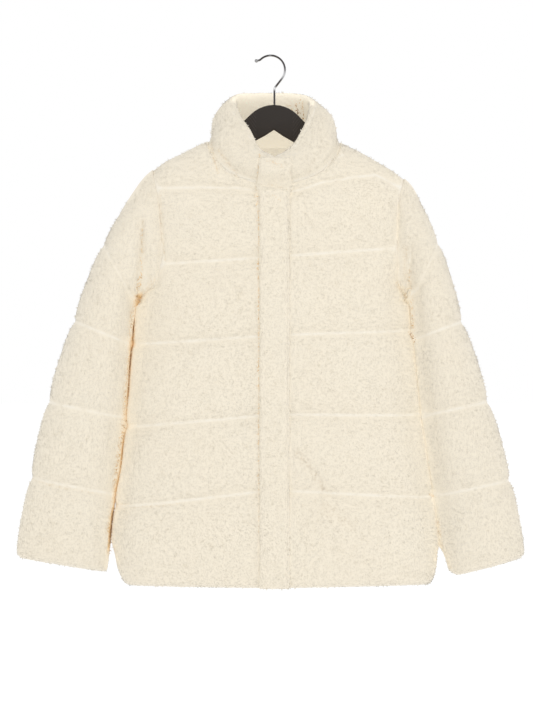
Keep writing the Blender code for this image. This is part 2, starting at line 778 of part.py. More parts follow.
def solid_from_curve(name, curve, group, surface, turn=0.0):
    """A curve's evaluated form as a closed mesh, with its caps welded and its turn applied."""
    guide = bpy.data.objects.new(name + "_curve", curve)
    guide.rotation_euler = (turn, 0.0, 0.0)
    group.objects.link(guide)
    bpy.context.view_layer.update()
    mesh = bpy.data.meshes.new_from_object(guide.evaluated_get(bpy.context.evaluated_depsgraph_get()))
    mesh.transform(guide.matrix_world)
    shape = bmesh.new()
    shape.from_mesh(mesh)
    bmesh.ops.remove_doubles(shape, verts=shape.verts, dist=0.00001)
    bmesh.ops.recalc_face_normals(shape, faces=shape.faces)
    shape.to_mesh(mesh)
    shape.free()
    mesh.name = name
    bpy.data.objects.remove(guide)
    bpy.data.curves.remove(curve)
    mesh.materials.clear()
    return finish_mesh(name, mesh, group, surface)


def hook_route():
    """Middle line of the hook's wire: up the stem, round the crown, to the tip."""
    radius = HOOK_INNER_RADIUS + HOOK_WIRE / 2
    middle_z = -HOOK_INNER_RADIUS
    stem_foot = HANGER_TOP_Z + SEAM_GAP
    route = [(CENTRE_X, stem_foot + HOOK_STEM * share) for share in (0.0, 0.5, 1.0)]
    start = (radius * math.cos(HOOK_LEAVE), middle_z + radius * math.sin(HOOK_LEAVE))
    for share in (0.0, 0.3, 0.65):
        route.append((
            HOOK_ELBOW[0] + (start[0] - HOOK_ELBOW[0]) * share ** 1.3,
            HOOK_ELBOW[1] + (start[1] - HOOK_ELBOW[1]) * share,
        ))
    for step in range(HOOK_TURNS + 1):
        turn = HOOK_LEAVE + (HOOK_LAST - HOOK_LEAVE) * step / HOOK_TURNS
        route.append((radius * math.cos(turn), middle_z + radius * math.sin(turn)))
    return route


def hook(group, surface):
    """Bent round wire with a ball on its free end."""
    wire = bpy.data.curves.new("hook_wire", "CURVE")
    wire.dimensions = "3D"
    wire.bevel_depth = HOOK_WIRE / 2 * MM
    wire.bevel_resolution = 2
    wire.use_fill_caps = True
    route = hook_route()
    spline = wire.splines.new("POLY")
    spline.points.add(len(route) - 1)
    for place, (x, z) in zip(spline.points, route):
        place.co = (x * MM, 0.0, z * MM, 1.0)
    made = solid_from_curve("hook", wire, group, surface)
    tip_x, tip_z = route[-1]
    shape = bmesh.new()
    bmesh.ops.create_uvsphere(shape, u_segments=12, v_segments=8, radius=HOOK_BALL / 2 * MM)
    bmesh.ops.translate(shape, vec=(tip_x * MM, 0.0, tip_z * MM), verts=shape.verts)
    ball_mesh = bpy.data.meshes.new("hook_ball")
    shape.to_mesh(ball_mesh)
    shape.free()
    ball = bpy.data.objects.new("hook_ball", ball_mesh)
    ball.hide_render = True
    ball.display_type = "WIRE"
    helpers = bpy.data.collections.new("helpers")
    bpy.context.scene.collection.children.link(helpers)
    helpers.objects.link(ball)
    join = made.modifiers.new("ball", "BOOLEAN")
    join.operation = "UNION"
    join.object = ball
    return made


def main():
    for thing in list(bpy.data.objects):
        bpy.data.objects.remove(thing)
    group = bpy.data.collections.new(COLLECTION)
    bpy.context.scene.collection.children.link(group)
    pile = material("cream_sherpa", (0.86, 0.80, 0.67), 0.95)
    black = material("black_plastic", (0.045, 0.038, 0.034), 0.55)
    chrome = material("chrome_wire", (0.75, 0.75, 0.76), 0.15, 1.0)

    fronts = {side: front_panel(side) for side in (-1, 1)}
    back = back_panel()
    neck = collar(fronts, back)
    wall_object("front_right", fronts[-1], False, group, pile)
    wall_object("front_left", fronts[1], False, group, pile)
    wall_object("back", back, False, group, pile)
    wall_object("sleeve_right", sleeve(-1, fronts[-1], back), True, group, pile)
    wall_object("sleeve_left", sleeve(1, fronts[1], back), True, group, pile)
    wall_object("collar", neck, False, group, pile)
    wall_object("placket", placket(fronts, neck), False, group, pile)
    hanger(group, black)
    hook(group, chrome)


main()
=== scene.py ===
"""Looks of the sherpa puffer jacket on its hanger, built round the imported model.

Each cloth node gets a smooth backing cloth made from its own mesh, and a pile of small bent locks
planted over it. Lengths are metres, +Z is up and the jacket's front faces -Y.
"""
import math

import bmesh
import bpy
import numpy as np
from mathutils import Matrix, Vector, noise
from mathutils.bvhtree import BVHTree
from mathutils.kdtree import KDTree


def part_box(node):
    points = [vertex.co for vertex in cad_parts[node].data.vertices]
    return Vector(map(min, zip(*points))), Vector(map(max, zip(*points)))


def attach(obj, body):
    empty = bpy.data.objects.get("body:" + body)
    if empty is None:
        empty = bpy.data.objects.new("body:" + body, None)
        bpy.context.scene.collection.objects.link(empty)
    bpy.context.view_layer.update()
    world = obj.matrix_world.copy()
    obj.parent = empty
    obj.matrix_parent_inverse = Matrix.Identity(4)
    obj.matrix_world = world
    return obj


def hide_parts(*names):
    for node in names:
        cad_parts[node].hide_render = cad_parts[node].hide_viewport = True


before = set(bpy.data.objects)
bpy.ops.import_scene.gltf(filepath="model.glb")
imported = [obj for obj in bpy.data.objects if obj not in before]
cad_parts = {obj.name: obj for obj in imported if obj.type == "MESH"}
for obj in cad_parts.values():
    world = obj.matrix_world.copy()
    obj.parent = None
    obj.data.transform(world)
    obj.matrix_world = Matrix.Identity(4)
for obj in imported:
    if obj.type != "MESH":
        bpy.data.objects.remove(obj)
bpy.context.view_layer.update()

MM = 0.001
IMAGE_SIZE = (533, 711)
PIXEL = 1.5 * MM
PICTURE_ORIGIN = (270.6, 56.6)
VIEW_CENTRE = (-6.15 * MM, -448.35 * MM)
CAMERA_DISTANCE = 6.0
SENSOR = 36.0

# The jacket. A pair of heights or depths is where something starts and where it is full.
BODY = ["front_right", "front_left", "back"]
SLEEVES = ["sleeve_right", "sleeve_left"]
CENTRE_X = 5.7 * MM
# A wall this thick is a seam, and one thicker by FULL_PUFF is the middle of a baffle.
SEAM_WALL = 7.0 * MM
FULL_PUFF = 7.0 * MM
# How full the padding is, from 0 at a seam to 1, where the seam's sinking, its puckers, its notch in
# the slit, the nap leading off it and its parted pile start or end.
SEAM_SUNK = (0.0, 0.45)
PUCKERS_START = (0.1, 0.5)
PUCKERS_END = (0.5, 1.1)
SEAM_NOTCH = (0.0, 0.5)
NAP_OFF = (0.05, 0.4)
PILE_PARTED = (0.0, 0.14)
# Points this near to another piece are sewn to it.
SEAM_REACH = 0.9 * MM
ALL_SEWN = 0.97
SEAM_CORNER = math.radians(35)
SEAM_CLOSING = 0.8 * MM
JOIN_FLAT = math.radians(50)
JOIN_SHAPE = math.radians(120)
SMOOTH_LEVELS = 2
# Pieces that smoothing would draw in, and that are moved out by as much beforehand.
HELD_OUT = ["collar", "placket"]
SLEEVE_CAP = (-0.277, -0.262)
# The line that a sleeve hangs round: from the shoulder's x and height to near the cuff's.
SLEEVE_TOP_X = 0.225
SLEEVE_TOP_Z = -0.27
CUFF_INSET = 0.066
CUFF_RISE = 0.02
# How unevenly the cloth lies, and how it puckers beside the quilting.
UNEVEN_PITCH = 28.0
UNEVEN_RISE = 0.8 * MM
SEAM_SINK = 0.8 * MM
PUCKER_RISE = 1.1 * MM
PUCKER_PITCH = (60.0, 60.0, 16.0)
# The pile hangs a little below the hem and cuffs.
HEM_Z = (-0.740, -0.785)
CUFF_Z = (-0.715, -0.750)
FUZZ_DROP = 3.0 * MM
# The rounded inner corner of the wearer's left cuff.
CUFF_CORNER_X = 266.0 * MM
CUFF_CORNER_HALF = 8.5 * MM
CUFF_CORNER_LIFT = 9.0 * MM
CUFF_CORNER_Z = (0.740, 0.775)
# The collar: how it stands up at its back and at one corner, and where it leans in.
COLLAR_UP = (-135.0 * MM, -62.0 * MM)
COLLAR_STAND_MM = 5.0
CORNER_STAND_MM = 4.0
CORNER_X = -62.0 * MM
CORNER_HALF = 22.0 * MM
LEAN_PLACE = (-32.0 * MM, -112.0 * MM)
LEAN_HALVES = (20.0 * MM, 24.0 * MM)
LEAN_DEEP = (5.0 * MM, -15.0 * MM)
COLLAR_LEAN = 8.0 * MM
# The flap lies round the collar, wider at the neck seam and wider still at the rim.
COLLAR_ROUND = 75.0 * MM
FLAP_NECK = (-0.215, -0.195)
FLAP_RIM = (-0.178, -0.152)
NECK_SPREAD = 0.2
RIM_SPREAD = 0.5
RIM_SHIFT = 3.0 * MM
# Inside the neck the pile shows down to NECK_INSIDE_Z.
INSIDE_FROM = 0.85
NECK_INSIDE_Z = -215.0 * MM
NECK_INSIDE_HALF = 120.0 * MM
# Faces that look at the front at least this much show the folds of the picture.
TO_FRONT = (0.1, 0.5)

# The pile: small three-sided locks that rise a little and run along the cloth.
PILE_DEPTH = 1.4 * MM
LOCK_ROOT = 0.3 * MM
LOCK_RISE = 0.5 * MM
LOCK_RUN = 2.3 * MM
LOCK_RADIUS = 1.05 * MM
LOCK_SIDES = 3
LOCK_ROUNDNESS = 0.10
LOCKS_PER_M2 = 220000
# The least size of a lock, and how much more chance may add; then how seams and creases change it.
LOCK_SIZES = (0.7, 0.6)
LOCK_WIDTHS = (0.8, 0.4)
SEAM_SHORTER = 0.4
CREASE_LONGER = 1.1
LOCK_TONES = (0.99, 0.02)
STRAY_SHARE = 0.06
STRAY_RISE = 2.8 * MM
STRAY_RUN = 0.5
# How far up a lock its roots are, from 0 at the cloth to 1 at the tip.
ROOT_TIP = 0.3
# How many locks the back has beside the other pieces.
BACK_SHARE = 0.86
# The nap leans down, is turned by broad swirls and by chance, and leads off the seams.
NAP_DOWN = (0.0, 0.0, -0.6)
SWIRL_PITCH = 22.0
SWIRL_SHARE = 1.3
TOUSLED_SHARE = 0.5
OFF_SEAM_SHARE = 1.1
# Without a seed of its own, noise_vector is different on every run.
SWIRL_SEED = 7
# Painted light, glowing as emission, for light that soaks through the pile to its roots and bare seams,
# into stray locks and into places that the clothes hide from the sky.
ROOT_LIGHT = 0.13
SEAM_LIGHT = 0.13
STRAY_LIGHT = 0.26
SHELTER_LIGHT = 0.36
SHELTER_SHARES = (0.08, 0.8)
SHELTER_RAYS = 14
SHELTER_START_MM = 2.5
SHELTER_REACH = 70.0 * MM
ASKEW = (0.31, 0.17, 0.93)
GOLDEN_ANGLE = math.radians(137.508)
# Painted light inside the neck, glowing as emission: on the collar's rim, added low in the collar, and on
# the body below it.
COLLAR_RIM_LIGHT = 0.43
COLLAR_LOW_LIGHT = 0.32
COLLAR_LOW = (-0.120, -0.085)
NECK_LIGHT = 0.56
NECK_LIT = (-260.0 * MM, -150.0 * MM)
# How bright each piece's pile is beside the fronts'.
TONES = {"collar": 0.965, "sleeve_right": 0.99, "sleeve_left": 0.975}

# The hanger's ribs slant: their shares of x and z, their pitch and how far out they start.
RIB_SLANT = (0.82, 0.57)
RIB_PITCH = 3.6 * MM
RIBS_FROM = 27.0 * MM

# Where a sleeve hangs against the body, below the underarm: the heights at which the slit starts,
# stays nearly shut, ends, and turns brown with painted shade.
SLIT_TOP = (-0.335, -0.305)
SLIT_NARROW = (-0.415, -0.372)
NARROWING = 1.6
SLIT_BOTTOM = (-0.748, -0.722)
LOWER_END = (-0.690, -0.600)
SLIT_FACING = (0.3, 0.8)
# SLIT_SOFT: painted light, a soft emission glow in the slit.
SLIT_SOFT = 0.3
BROWN_TOP = (-0.370, -0.345)
BROWN_GAP = 14.5 * MM
BROWN_FULL = 0.6
BROWN_WIDER = 0.3
BROWN_TURN = 0.3
BROWN_HALF = 7.0 * MM
BROWN_FADE = 0.02
BROWN_LEAST = 0.04
DARKEST_Z = -0.418
DARKEST_REACH = 0.026
DARKEST_MORE = 0.7
# The painted brown shade comes in patches: their middle, how much each noise adds and its pitch, and their
# limits.
PATCH_MIDDLE = 0.72
PATCH_NOISES = [(1.1, 40.0), (0.9, 120.0)]
PATCH_AT_SEAM = 0.6
PATCH_LIMITS = (0.2, 1.2)
RIGHT_SLIT = [(138.3, 293), (135.5, 301), (133.5, 325), (132.5, 340), (130.5, 360), (127.5, 400),
              (125, 430), (120.5, 460), (116.5, 500), (111.5, 520), (110, 530), (109, 548)]
LEFT_SLIT = [(408, 298), (411.5, 325), (413.5, 345), (419, 400), (423.5, 430), (428, 460),
             (433.5, 496), (437.5, 530)]
# For each sleeve: the widest slit that closes, where it stays open, how brown its painted shade is, down to
# which height, the gap left in it, how much more the body closes its lower end, and its line in the
# picture.
SLITS = {
    "sleeve_right": (12.0 * MM, 22.0 * MM, 0.86, -0.9, 2.4 * MM, 0.4, RIGHT_SLIT),
    "sleeve_left": (20.0 * MM, 34.0 * MM, 0.20, -0.42, -2.0 * MM, 0.0, LEFT_SLIT),
}

# Folds and sewn lines seen from the front, measured in the picture, with painted brown shade along them:
# pieces, half width mm, depth mm, how brown (painted shade), how bright (below 0 hides a bright seam),
# points x and y.
LINES = [
    (("sleeve_right",), 4.5, 4.2, 0.10, 0.0, [(143, 222), (142.5, 262), (140, 285), (136, 300)]),
    (("sleeve_right",), 1.9, 0.8, 0.34, 0.0, [(143, 226), (142.5, 262), (140, 285), (136, 300)]),
    (("sleeve_right",), 2.2, 0.6, 0.60, 0.0, [(141.5, 270), (140, 285), (136, 302)]),
    (("sleeve_right",), 3.6, 0.0, 0.50, 0.0, [
        (136, 296), (132.5, 315), (131, 340), (129, 365), (125.5, 400), (123, 430), (118.5, 460),
        (114, 500), (109, 530),
    ]),
    (("sleeve_right", "front_right"), 2.4, 0.0, 0.85, 0.0, [(134, 330), (132.5, 346)]),
    (("sleeve_right", "front_right"), 2.2, 0.0, 0.60, 0.0, [(126, 418), (124, 436)]),
    (("sleeve_right", "front_right"), 2.2, 0.0, 0.60, 0.0, [(116, 490), (114, 504)]),
    (("front_right", "sleeve_right"), 2.0, 0.4, 0.20, 0.0, [(160, 195), (163, 235), (165, 262)]),
    (("front_right", "sleeve_right"), 9.0, -2.0, 0.0, 0.0, [
        (155, 180), (160, 195), (163, 235), (165, 262),
    ]),
    (("front_right", "sleeve_right"), 9.0, -3.2, 0.0, 0.0, [(165, 268), (155, 283), (146, 292)]),
    (("front_left", "sleeve_left"), 9.0, -2.0, 0.0, 0.0, [(402, 180), (396, 210), (395, 250)]),
    (("front_left", "sleeve_left"), 9.0, -3.0, 0.0, 0.0, [(395, 258), (400, 280), (406, 291)]),
    (("sleeve_left",), 6.0, 3.5, 0.12, 0.0, [(404, 250), (407, 280), (411, 300)]),
    (("sleeve_right",), 6.0, -2.2, 0.0, -1.0, [(113, 260), (122, 272), (134, 290)]),
    (("sleeve_right",), 6.0, 0.0, 0.0, -1.0, [(143.5, 258), (144.5, 275), (142, 292)]),
    (("sleeve_left",), 6.0, 0.0, 0.0, -1.0, [(401, 246), (402, 262), (404, 280)]),
    (("sleeve_right",), 2.6, 0.9, 0.0, 0.8, [(105, 247), (129, 253), (140, 258)]),
    (("sleeve_left",), 6.0, -2.4, 0.0, -1.0, [(434.5, 247), (426, 260.5), (417, 283)]),
    (("sleeve_left",), 2.6, 0.9, 0.0, 0.8, [(425, 245), (442, 246)]),
    (("front_left", "sleeve_left"), 2.6, 0.0, 0.0, 0.8, [(402, 185), (397, 205), (394.5, 228), (395, 250)]),
    (("sleeve_left", "front_left"), 3.0, 0.0, 0.30, 0.0, [(408, 270), (409, 285), (410, 300)]),
    (("sleeve_left", "front_left"), 3.0, 0.3, 0.48, 0.0, [(410, 300), (411, 312), (412, 330)]),
    (("sleeve_left", "front_left"), 4.0, -1.5, 0.22, 0.0, [(397, 284), (403, 294), (409, 303)]),
    (("sleeve_right", "front_right"), 4.0, -1.0, 0.22, 0.0, [(154, 281), (147, 290), (141, 297)]),
    (("sleeve_left", "front_left"), 2.2, 0.5, 0.9, 0.0, [(409.5, 332), (412.5, 337), (415, 341)]),
    (("sleeve_left", "front_left"), 2.0, 0.3, 0.6, 0.0, [(430, 494), (434, 496)]),
    (("sleeve_left",), 2.2, 0.3, 0.34, 0.0, [(437, 518), (439.5, 540), (444, 556), (450, 567)]),
    (("front_right",), 1.8, 0.0, 0.16, 0.0, [(117, 504), (140, 506), (165, 504), (184, 501)]),
    (("sleeve_right",), 1.6, 0.0, 0.16, 0.0, [(33, 478), (60, 486), (83, 489), (104, 493)]),
    (("front_right",), 10.0, 2.6, 0.0, 0.0, [(240, 295), (190, 352), (145, 425)]),
    (("front_right",), 10.0, 2.6, 0.0, 0.0, [(220, 425), (196, 455), (175, 490)]),
    (("front_left",), 6.0, 4.5, 0.07, 0.0, [(297, 452), (312, 470), (325, 492)]),
    (("front_left",), 8.0, 3.6, 0.05, 0.0, [(325, 505), (350, 525)]),
    (("front_left",), 10.0, 2.0, 0.0, 0.0, [(300, 375), (350, 415)]),
    (("front_right",), 1.8, 0.0, 0.45, 0.0, [(256.5, 197), (259.0, 215), (259.4, 400), (260.0, 530)]),
    (("front_right",), 6.0, -1.6, 0.0, 0.0, [(260, 205), (260, 400), (261, 575)]),
    (("front_left",), 8.0, -2.4, 0.0, 0.0, [(291, 205), (291, 400), (291, 575)]),
    (("collar", "front_right"), 1.8, 0.8, 0.38, 0.0, [(260.3, 156), (258, 180), (256.5, 197)]),
    (("collar", "front_right"), 2.2, 1.2, 0.26, 0.0, [(210.3, 137), (213, 155), (218.5, 173)]),
    (("collar", "front_right"), 2.6, 1.4, 0.16, 0.0, [(219, 151), (228, 164), (238, 178)]),
    (("collar",), 5.0, 1.5, 0.03, 0.0, [(326, 146), (313, 163), (307, 178)]),
    (("placket",), 1.8, 0.6, 0.20, 0.0, [(268, 162), (276, 165), (283, 168)]),
    (("placket",), 2.0, 0.9, 0.10, 0.0, [(262, 186), (275, 187), (288, 191)]),
    (("placket",), 1.6, 0.4, 0.14, 0.0, [(271, 195), (280, 201)]),
    (("placket",), 1.7, 0.0, 0.0, 1.0, [(287.5, 200), (288.4, 300), (287.8, 400), (288.8, 580)]),
    (("placket",), 5.0, 2.2, 0.0, 0.0, [(291, 200), (291, 400), (291, 580)]),
    (("collar", "placket"), 2.6, 0.0, 0.0, 1.0, [(252, 150), (268, 156), (284, 158), (300, 154)]),
]
# Painted brown shade in creases inside the collar behind the hanger's right shoulder.
NECK_LINES = [
    (("collar",), 1.8, 1.4, 0.75, 0.0, [(296, 103), (298, 112), (303, 126)]),
    (("collar",), 1.6, 1.2, 0.60, 0.0, [(301, 98), (303, 110), (305, 128)]),
    (("collar",), 1.4, 1.0, 0.45, 0.0, [(288, 102), (292, 108), (296, 115)]),
]

# What each cloth piece was cut to: width, length, share of that rectangle.
CUTS = {
    "front_right": (0.300, 0.680, 0.86),
    "front_left": (0.310, 0.680, 0.86),
    "back": (0.600, 0.730, 0.86),
    "sleeve_right": (0.380, 0.610, 0.86),
    "sleeve_left": (0.380, 0.610, 0.86),
    "collar": (0.460, 0.080, 0.90),
    "placket": (0.055, 0.700, 0.98),
}


# ---------------------------------------------------------------- shader graphs

class Value:
    """A socket of a shader graph; arithmetic on it adds Math nodes."""

    def __init__(self, graph, socket):
        self.graph = graph
        self.socket = socket

    def math(self, operation, *others, clamp=False):
        settings = {"operation": operation, "use_clamp": clamp}
        return self.graph.node("ShaderNodeMath", settings, {
            place: value for place, value in enumerate((self, *others))
        })

    def __add__(self, other):
        return self.math("ADD", other)

    def __mul__(self, other):
        return self.math("MULTIPLY", other)

    def __sub__(self, other):
        return self.math("SUBTRACT", other)

    def clamped(self):
        return self.math("ADD", 0.0, clamp=True)


class Graph:
    """A material's node tree."""

    def __init__(self, name):
        self.material = bpy.data.materials.new(name)
        self.material.use_nodes = True
        self.tree = self.material.node_tree
        self.shader = self.tree.nodes["Principled BSDF"]

    def node(self, kind, settings=None, sockets=None, output=0):
        """Add a node: its settings first, then the values or links of its sockets."""
        made = self.tree.nodes.new(kind)
        for name, value in (settings or {}).items():
            setattr(made, name, value)
        for name, value in (sockets or {}).items():
            self.plug(made.inputs[name], value)
        return Value(self, made.outputs[output])

    def plug(self, socket, value):
        if isinstance(value, Value):
            self.tree.links.new(value.socket, socket)
        else:
            socket.default_value = value

    def attribute(self, name):
        return self.node("ShaderNodeAttribute", {"attribute_name": name}, output="Fac")

    def place(self):
        return self.node("ShaderNodeTexCoord", output="Object")

    def part(self, axis):
        """The object's own x, y or z."""
        return self.node("ShaderNodeSeparateXYZ", {}, {0: self.place()}, output=axis)

    def grey(self, value):
        return self.node("ShaderNodeCombineXYZ", {}, {0: value, 1: value, 2: value})

    def noise(self, scale, detail=2.0):
        sockets = {"Vector": self.place(), "Scale": scale, "Detail": detail}
        return self.node("ShaderNodeTexNoise", {}, sockets)

    def mix(self, share, first, second, blend="MIX"):
        """Mix two colours, each a link or red, green, blue."""
        made = self.tree.nodes.new("ShaderNodeMix")
        made.data_type = "RGBA"
        made.blend_type = blend
        self.plug(made.inputs[0], share)
        for socket, colour in ((made.inputs[6], first), (made.inputs[7], second)):
            self.plug(socket, colour if isinstance(colour, Value) else (*colour, 1.0))
        return Value(self, made.outputs[2])

    def bump(self, height, distance, strength):
        sockets = {"Height": height, "Distance": distance, "Strength": strength}
        return self.node("ShaderNodeBump", {}, sockets)

    def finish(self, **sockets):
        """Plug the shader's own sockets, by name with spaces for underscores."""
        for name, value in sockets.items():
            self.plug(self.shader.inputs[name.replace("_", " ")], value)
        return self.material


CREAM = (0.700, 0.652, 0.556)
WARM_CREAM = (0.702, 0.636, 0.522)
# ROOT_SHADE_TAN is painted shade: a warmer tan at the locks' roots, for the warm shade deep between them.
ROOT_SHADE_TAN = (0.724, 0.654, 0.530)
PARTED_CREAM = (0.733, 0.690, 0.605)
# Painted shade: the gold and brown that creases and slits turn, in place of the shade that falls in them.
CREASE_SHADE_GOLD = (0.66, 0.47, 0.25)
CREASE_SHADE_BROWN = (0.26, 0.11, 0.025)
# Painted light, glowing as emission where light would soak through the pile: in shallow and deep creases,
# and inside the neck.
GOLD_GLOW = (0.20, 0.13, 0.06)
BROWN_GLOW = (0.05, 0.02, 0.004)
NECK_GLOW = (0.58, 0.54, 0.45)


def pile_material():
    """Curly pile: pale tips over tan roots whose warmth is painted shade, brighter at the seams, painted
    brown shade deep in the creases, and painted light glowing as emission.
    """
    graph = Graph("sherpa_pile")
    broad = graph.noise(9.0, 3.0)
    cream = graph.mix(broad, CREAM, WARM_CREAM)
    tip = graph.attribute("tip")
    colour = graph.mix((tip * 1.5).clamped(), ROOT_SHADE_TAN, cream)
    broken = (graph.noise(70.0, 2.0) * 2.4 - 0.5).clamped()
    colour = graph.mix(graph.attribute("parted") * broken, colour, PARTED_CREAM)
    shallow = (graph.attribute("crease") * 2.0).clamped()
    deep = (graph.attribute("crease") * 2.0 - 1.0).clamped()
    colour = graph.mix(shallow, colour, CREASE_SHADE_GOLD)
    colour = graph.mix(deep, colour, CREASE_SHADE_BROWN)
    colour = graph.mix(1.0, colour, graph.grey(graph.attribute("shade")), "MULTIPLY")
    fibres = graph.noise(1500.0, 1.0)
    glow = graph.mix(graph.attribute("lit"), (0.0, 0.0, 0.0), NECK_GLOW)
    glow = graph.mix(shallow, glow, GOLD_GLOW)
    glow = graph.mix(deep, glow, BROWN_GLOW)
    return graph.finish(
        Base_Color=colour,
        Emission_Color=glow,
        Emission_Strength=1.0,
        Roughness=0.95,
        Sheen_Weight=0.2,
        Sheen_Roughness=0.6,
        Specular_IOR_Level=0.1,
        Normal=graph.bump(fibres, 0.0004, 0.1),
    )


def plastic_material():
    """Matte black moulded plastic with a very fine grain, and slanting ribs along the arms."""
    graph = Graph("black_plastic")
    grain = graph.noise(2200.0, 2.0)
    smear = graph.noise(25.0, 3.0)
    colour = graph.mix(smear, (0.026, 0.021, 0.018), (0.032, 0.026, 0.022))
    across = (graph.part(0) - CENTRE_X).math("ABSOLUTE")
    along = graph.part(2) * RIB_SLANT[1] - across * RIB_SLANT[0]
    wave = ((along * (1 / RIB_PITCH)).math("FRACT") - 0.5).math("ABSOLUTE")
    arms = ((across - RIBS_FROM) * 1000.0).clamped()
    rib = (wave * 6.0 - 2.0).clamped() * arms
    colour = graph.mix(rib, colour, (0.052, 0.044, 0.040))
    return graph.finish(
        Base_Color=colour,
        Specular_IOR_Level=0.18,
        Roughness=smear * 0.15 + 0.5,
        Normal=graph.bump(rib + grain * 0.1, 0.0006, 0.6),
    )


def chrome_material():
    """Polished wire with the faint lines of drawing; its colour holds painted reflections, dark on its
    front and bright on its flanks and at painted glints.
    """
    graph = Graph("chrome_wire")
    lines = graph.noise(900.0, 2.0)
    return graph.finish(
        Base_Color=graph.mix(graph.attribute("bright"), (0.055, 0.050, 0.050), (0.72, 0.72, 0.73)),
        Metallic=1.0,
        Specular_Tint=(0.8, 0.8, 0.8, 1.0),
        Roughness=lines * 0.08 + 0.08,
    )


# ---------------------------------------------------------------- cloth

def axis_at(name, heights):
    """The x of the line that a piece is wrapped round, by height."""
    if name not in SLEEVES:
        return np.full(len(heights), CENTRE_X)
    low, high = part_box(name)
    side = -1 if name == "sleeve_right" else 1
    outer = low.x if side < 0 else high.x
    bottom = low.z + CUFF_RISE
    share = np.clip((SLEEVE_TOP_Z - heights) / (SLEEVE_TOP_Z - bottom), 0.0, 1.3)
    start = side * SLEEVE_TOP_X
    end = outer - side * CUFF_INSET
    return start + (end - start) * share


def merged(name):
    """A copy of a CAD node's mesh with its loose triangles joined."""
    shape = bmesh.new()
    shape.from_mesh(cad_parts[name].data)
    bmesh.ops.remove_doubles(shape, verts=shape.verts, dist=0.02 * MM)
    shape.normal_update()
    shape.verts.ensure_lookup_table()
    return shape


def smoothstep(low, high, value):
    """0 up to low and 1 from high on, with a soft rise between."""
    share = np.clip((value - low) / (high - low), 0.0, 1.0)
    return share * share * (3 - 2 * share)


def meets(shape, neighbours):
    """Which points of a piece are sewn to another piece."""
    return np.array([
        any(tree.find_nearest(vert.co, SEAM_REACH)[0] is not None for tree in neighbours)
        for vert in shape.verts
    ])


def outward(shape, joined):
    """The way off the cloth at each point; the faces inside a seam don't count."""
    ways = np.array([vert.normal for vert in shape.verts])
    for index in np.flatnonzero(joined):
        total = Vector()
        for face in shape.verts[index].link_faces:
            if not all(joined[corner.index] for corner in face.verts):
                total += face.normal * face.calc_area()
        if total.length > 0:
            ways[index] = total.normalized()
    return ways


def wall_facts(name, places, ways):
    """For each point: 0 outside to 1 inside the garment, and 0 at a seam to 1 on a full baffle."""
    across = places[:, 0] - axis_at(name, places[:, 2])
    radial = across * ways[:, 0] + places[:, 1] * ways[:, 1]
    radial /= np.maximum(np.hypot(across, places[:, 1]), 1e-6)
    inside = radial < 0
    tree = KDTree(int(inside.sum()))
    for index, point in enumerate(places[inside]):
        tree.insert(point, index)
    tree.balance()
    thick = np.array([tree.find(point)[2] for point in places])
    puff = np.clip((thick - SEAM_WALL) / FULL_PUFF, 0.0, 1.2)
    puff[inside] = 1.0
    return inside.astype(float), puff


def near_line(places, points):
    """How far each place is, seen from the front, from a line through points of the picture."""
    ends = (np.array(points) - PICTURE_ORIGIN) * (PIXEL, -PIXEL)
    flat = places[:, [0, 2]]
    best = np.full(len(places), 1.0)
    for first, second in zip(ends[:-1], ends[1:]):
        along = second - first
        share = np.clip((flat - first) @ along / (along @ along), 0.0, 1.0)
        best = np.minimum(best, np.linalg.norm(flat - first - share[:, None] * along, axis=1))
    return best


def marks(name, places, ways):
    """How deep the folds and sewn lines are at each place, how much painted brown shade they get, how
    bright they are, and how plain a seam.
    """
    depth = np.zeros(len(places))
    brown = np.zeros(len(places))
    bright = np.zeros(len(places))
    plain = np.zeros(len(places))
    toward = smoothstep(*TO_FRONT, -ways[:, 1])
    sides = [(LINES, toward * (places[:, 1] < 0)), (NECK_LINES, toward * (places[:, 1] > 0))]
    for lines, seen in sides:
        for pieces, half, deep, tan, light, points in lines:
            if name in pieces:
                near = seen * np.exp(-(near_line(places, points) / (half * MM)) ** 2)
                depth += near * deep * MM
                brown = np.maximum(brown, near * tan)
                bright = np.maximum(bright, near * light)
                plain = np.maximum(plain, -near * light)
    return depth, brown, bright, plain


def write_attribute(mesh, name, values):
    """Give each point of a mesh its number under this name."""
    layer = mesh.attributes.get(name) or mesh.attributes.new(name, "FLOAT", "POINT")
    layer.data.foreach_set("value", np.asarray(values, np.float32))


def read_attribute(mesh, name):
    """The numbers that a mesh's points have under this name."""
    values = np.zeros(len(mesh.vertices), np.float32)
    mesh.attributes[name].data.foreach_get("value", values)
    return values.astype(float)


def mesh_points(mesh, kind="vertices", key="co"):
    """The places of a mesh's points, or their normals, as rows of three."""
    source = getattr(mesh, kind)
    values = np.zeros(len(source) * 3, np.float32)
    source.foreach_get(key, values)
    return values.reshape(-1, 3).astype(float)


def evaluated(thing, keep=False):
    """An object's mesh with its modifiers applied, put on the object unless its own is kept."""
    thing.data.update_tag()
    bpy.context.view_layer.update()
    graph = bpy.context.evaluated_depsgraph_get()
    mesh = bpy.data.meshes.new_from_object(thing.evaluated_get(graph))
    if keep:
        return mesh
    thing.modifiers.clear()
    thing.data = mesh
    return mesh


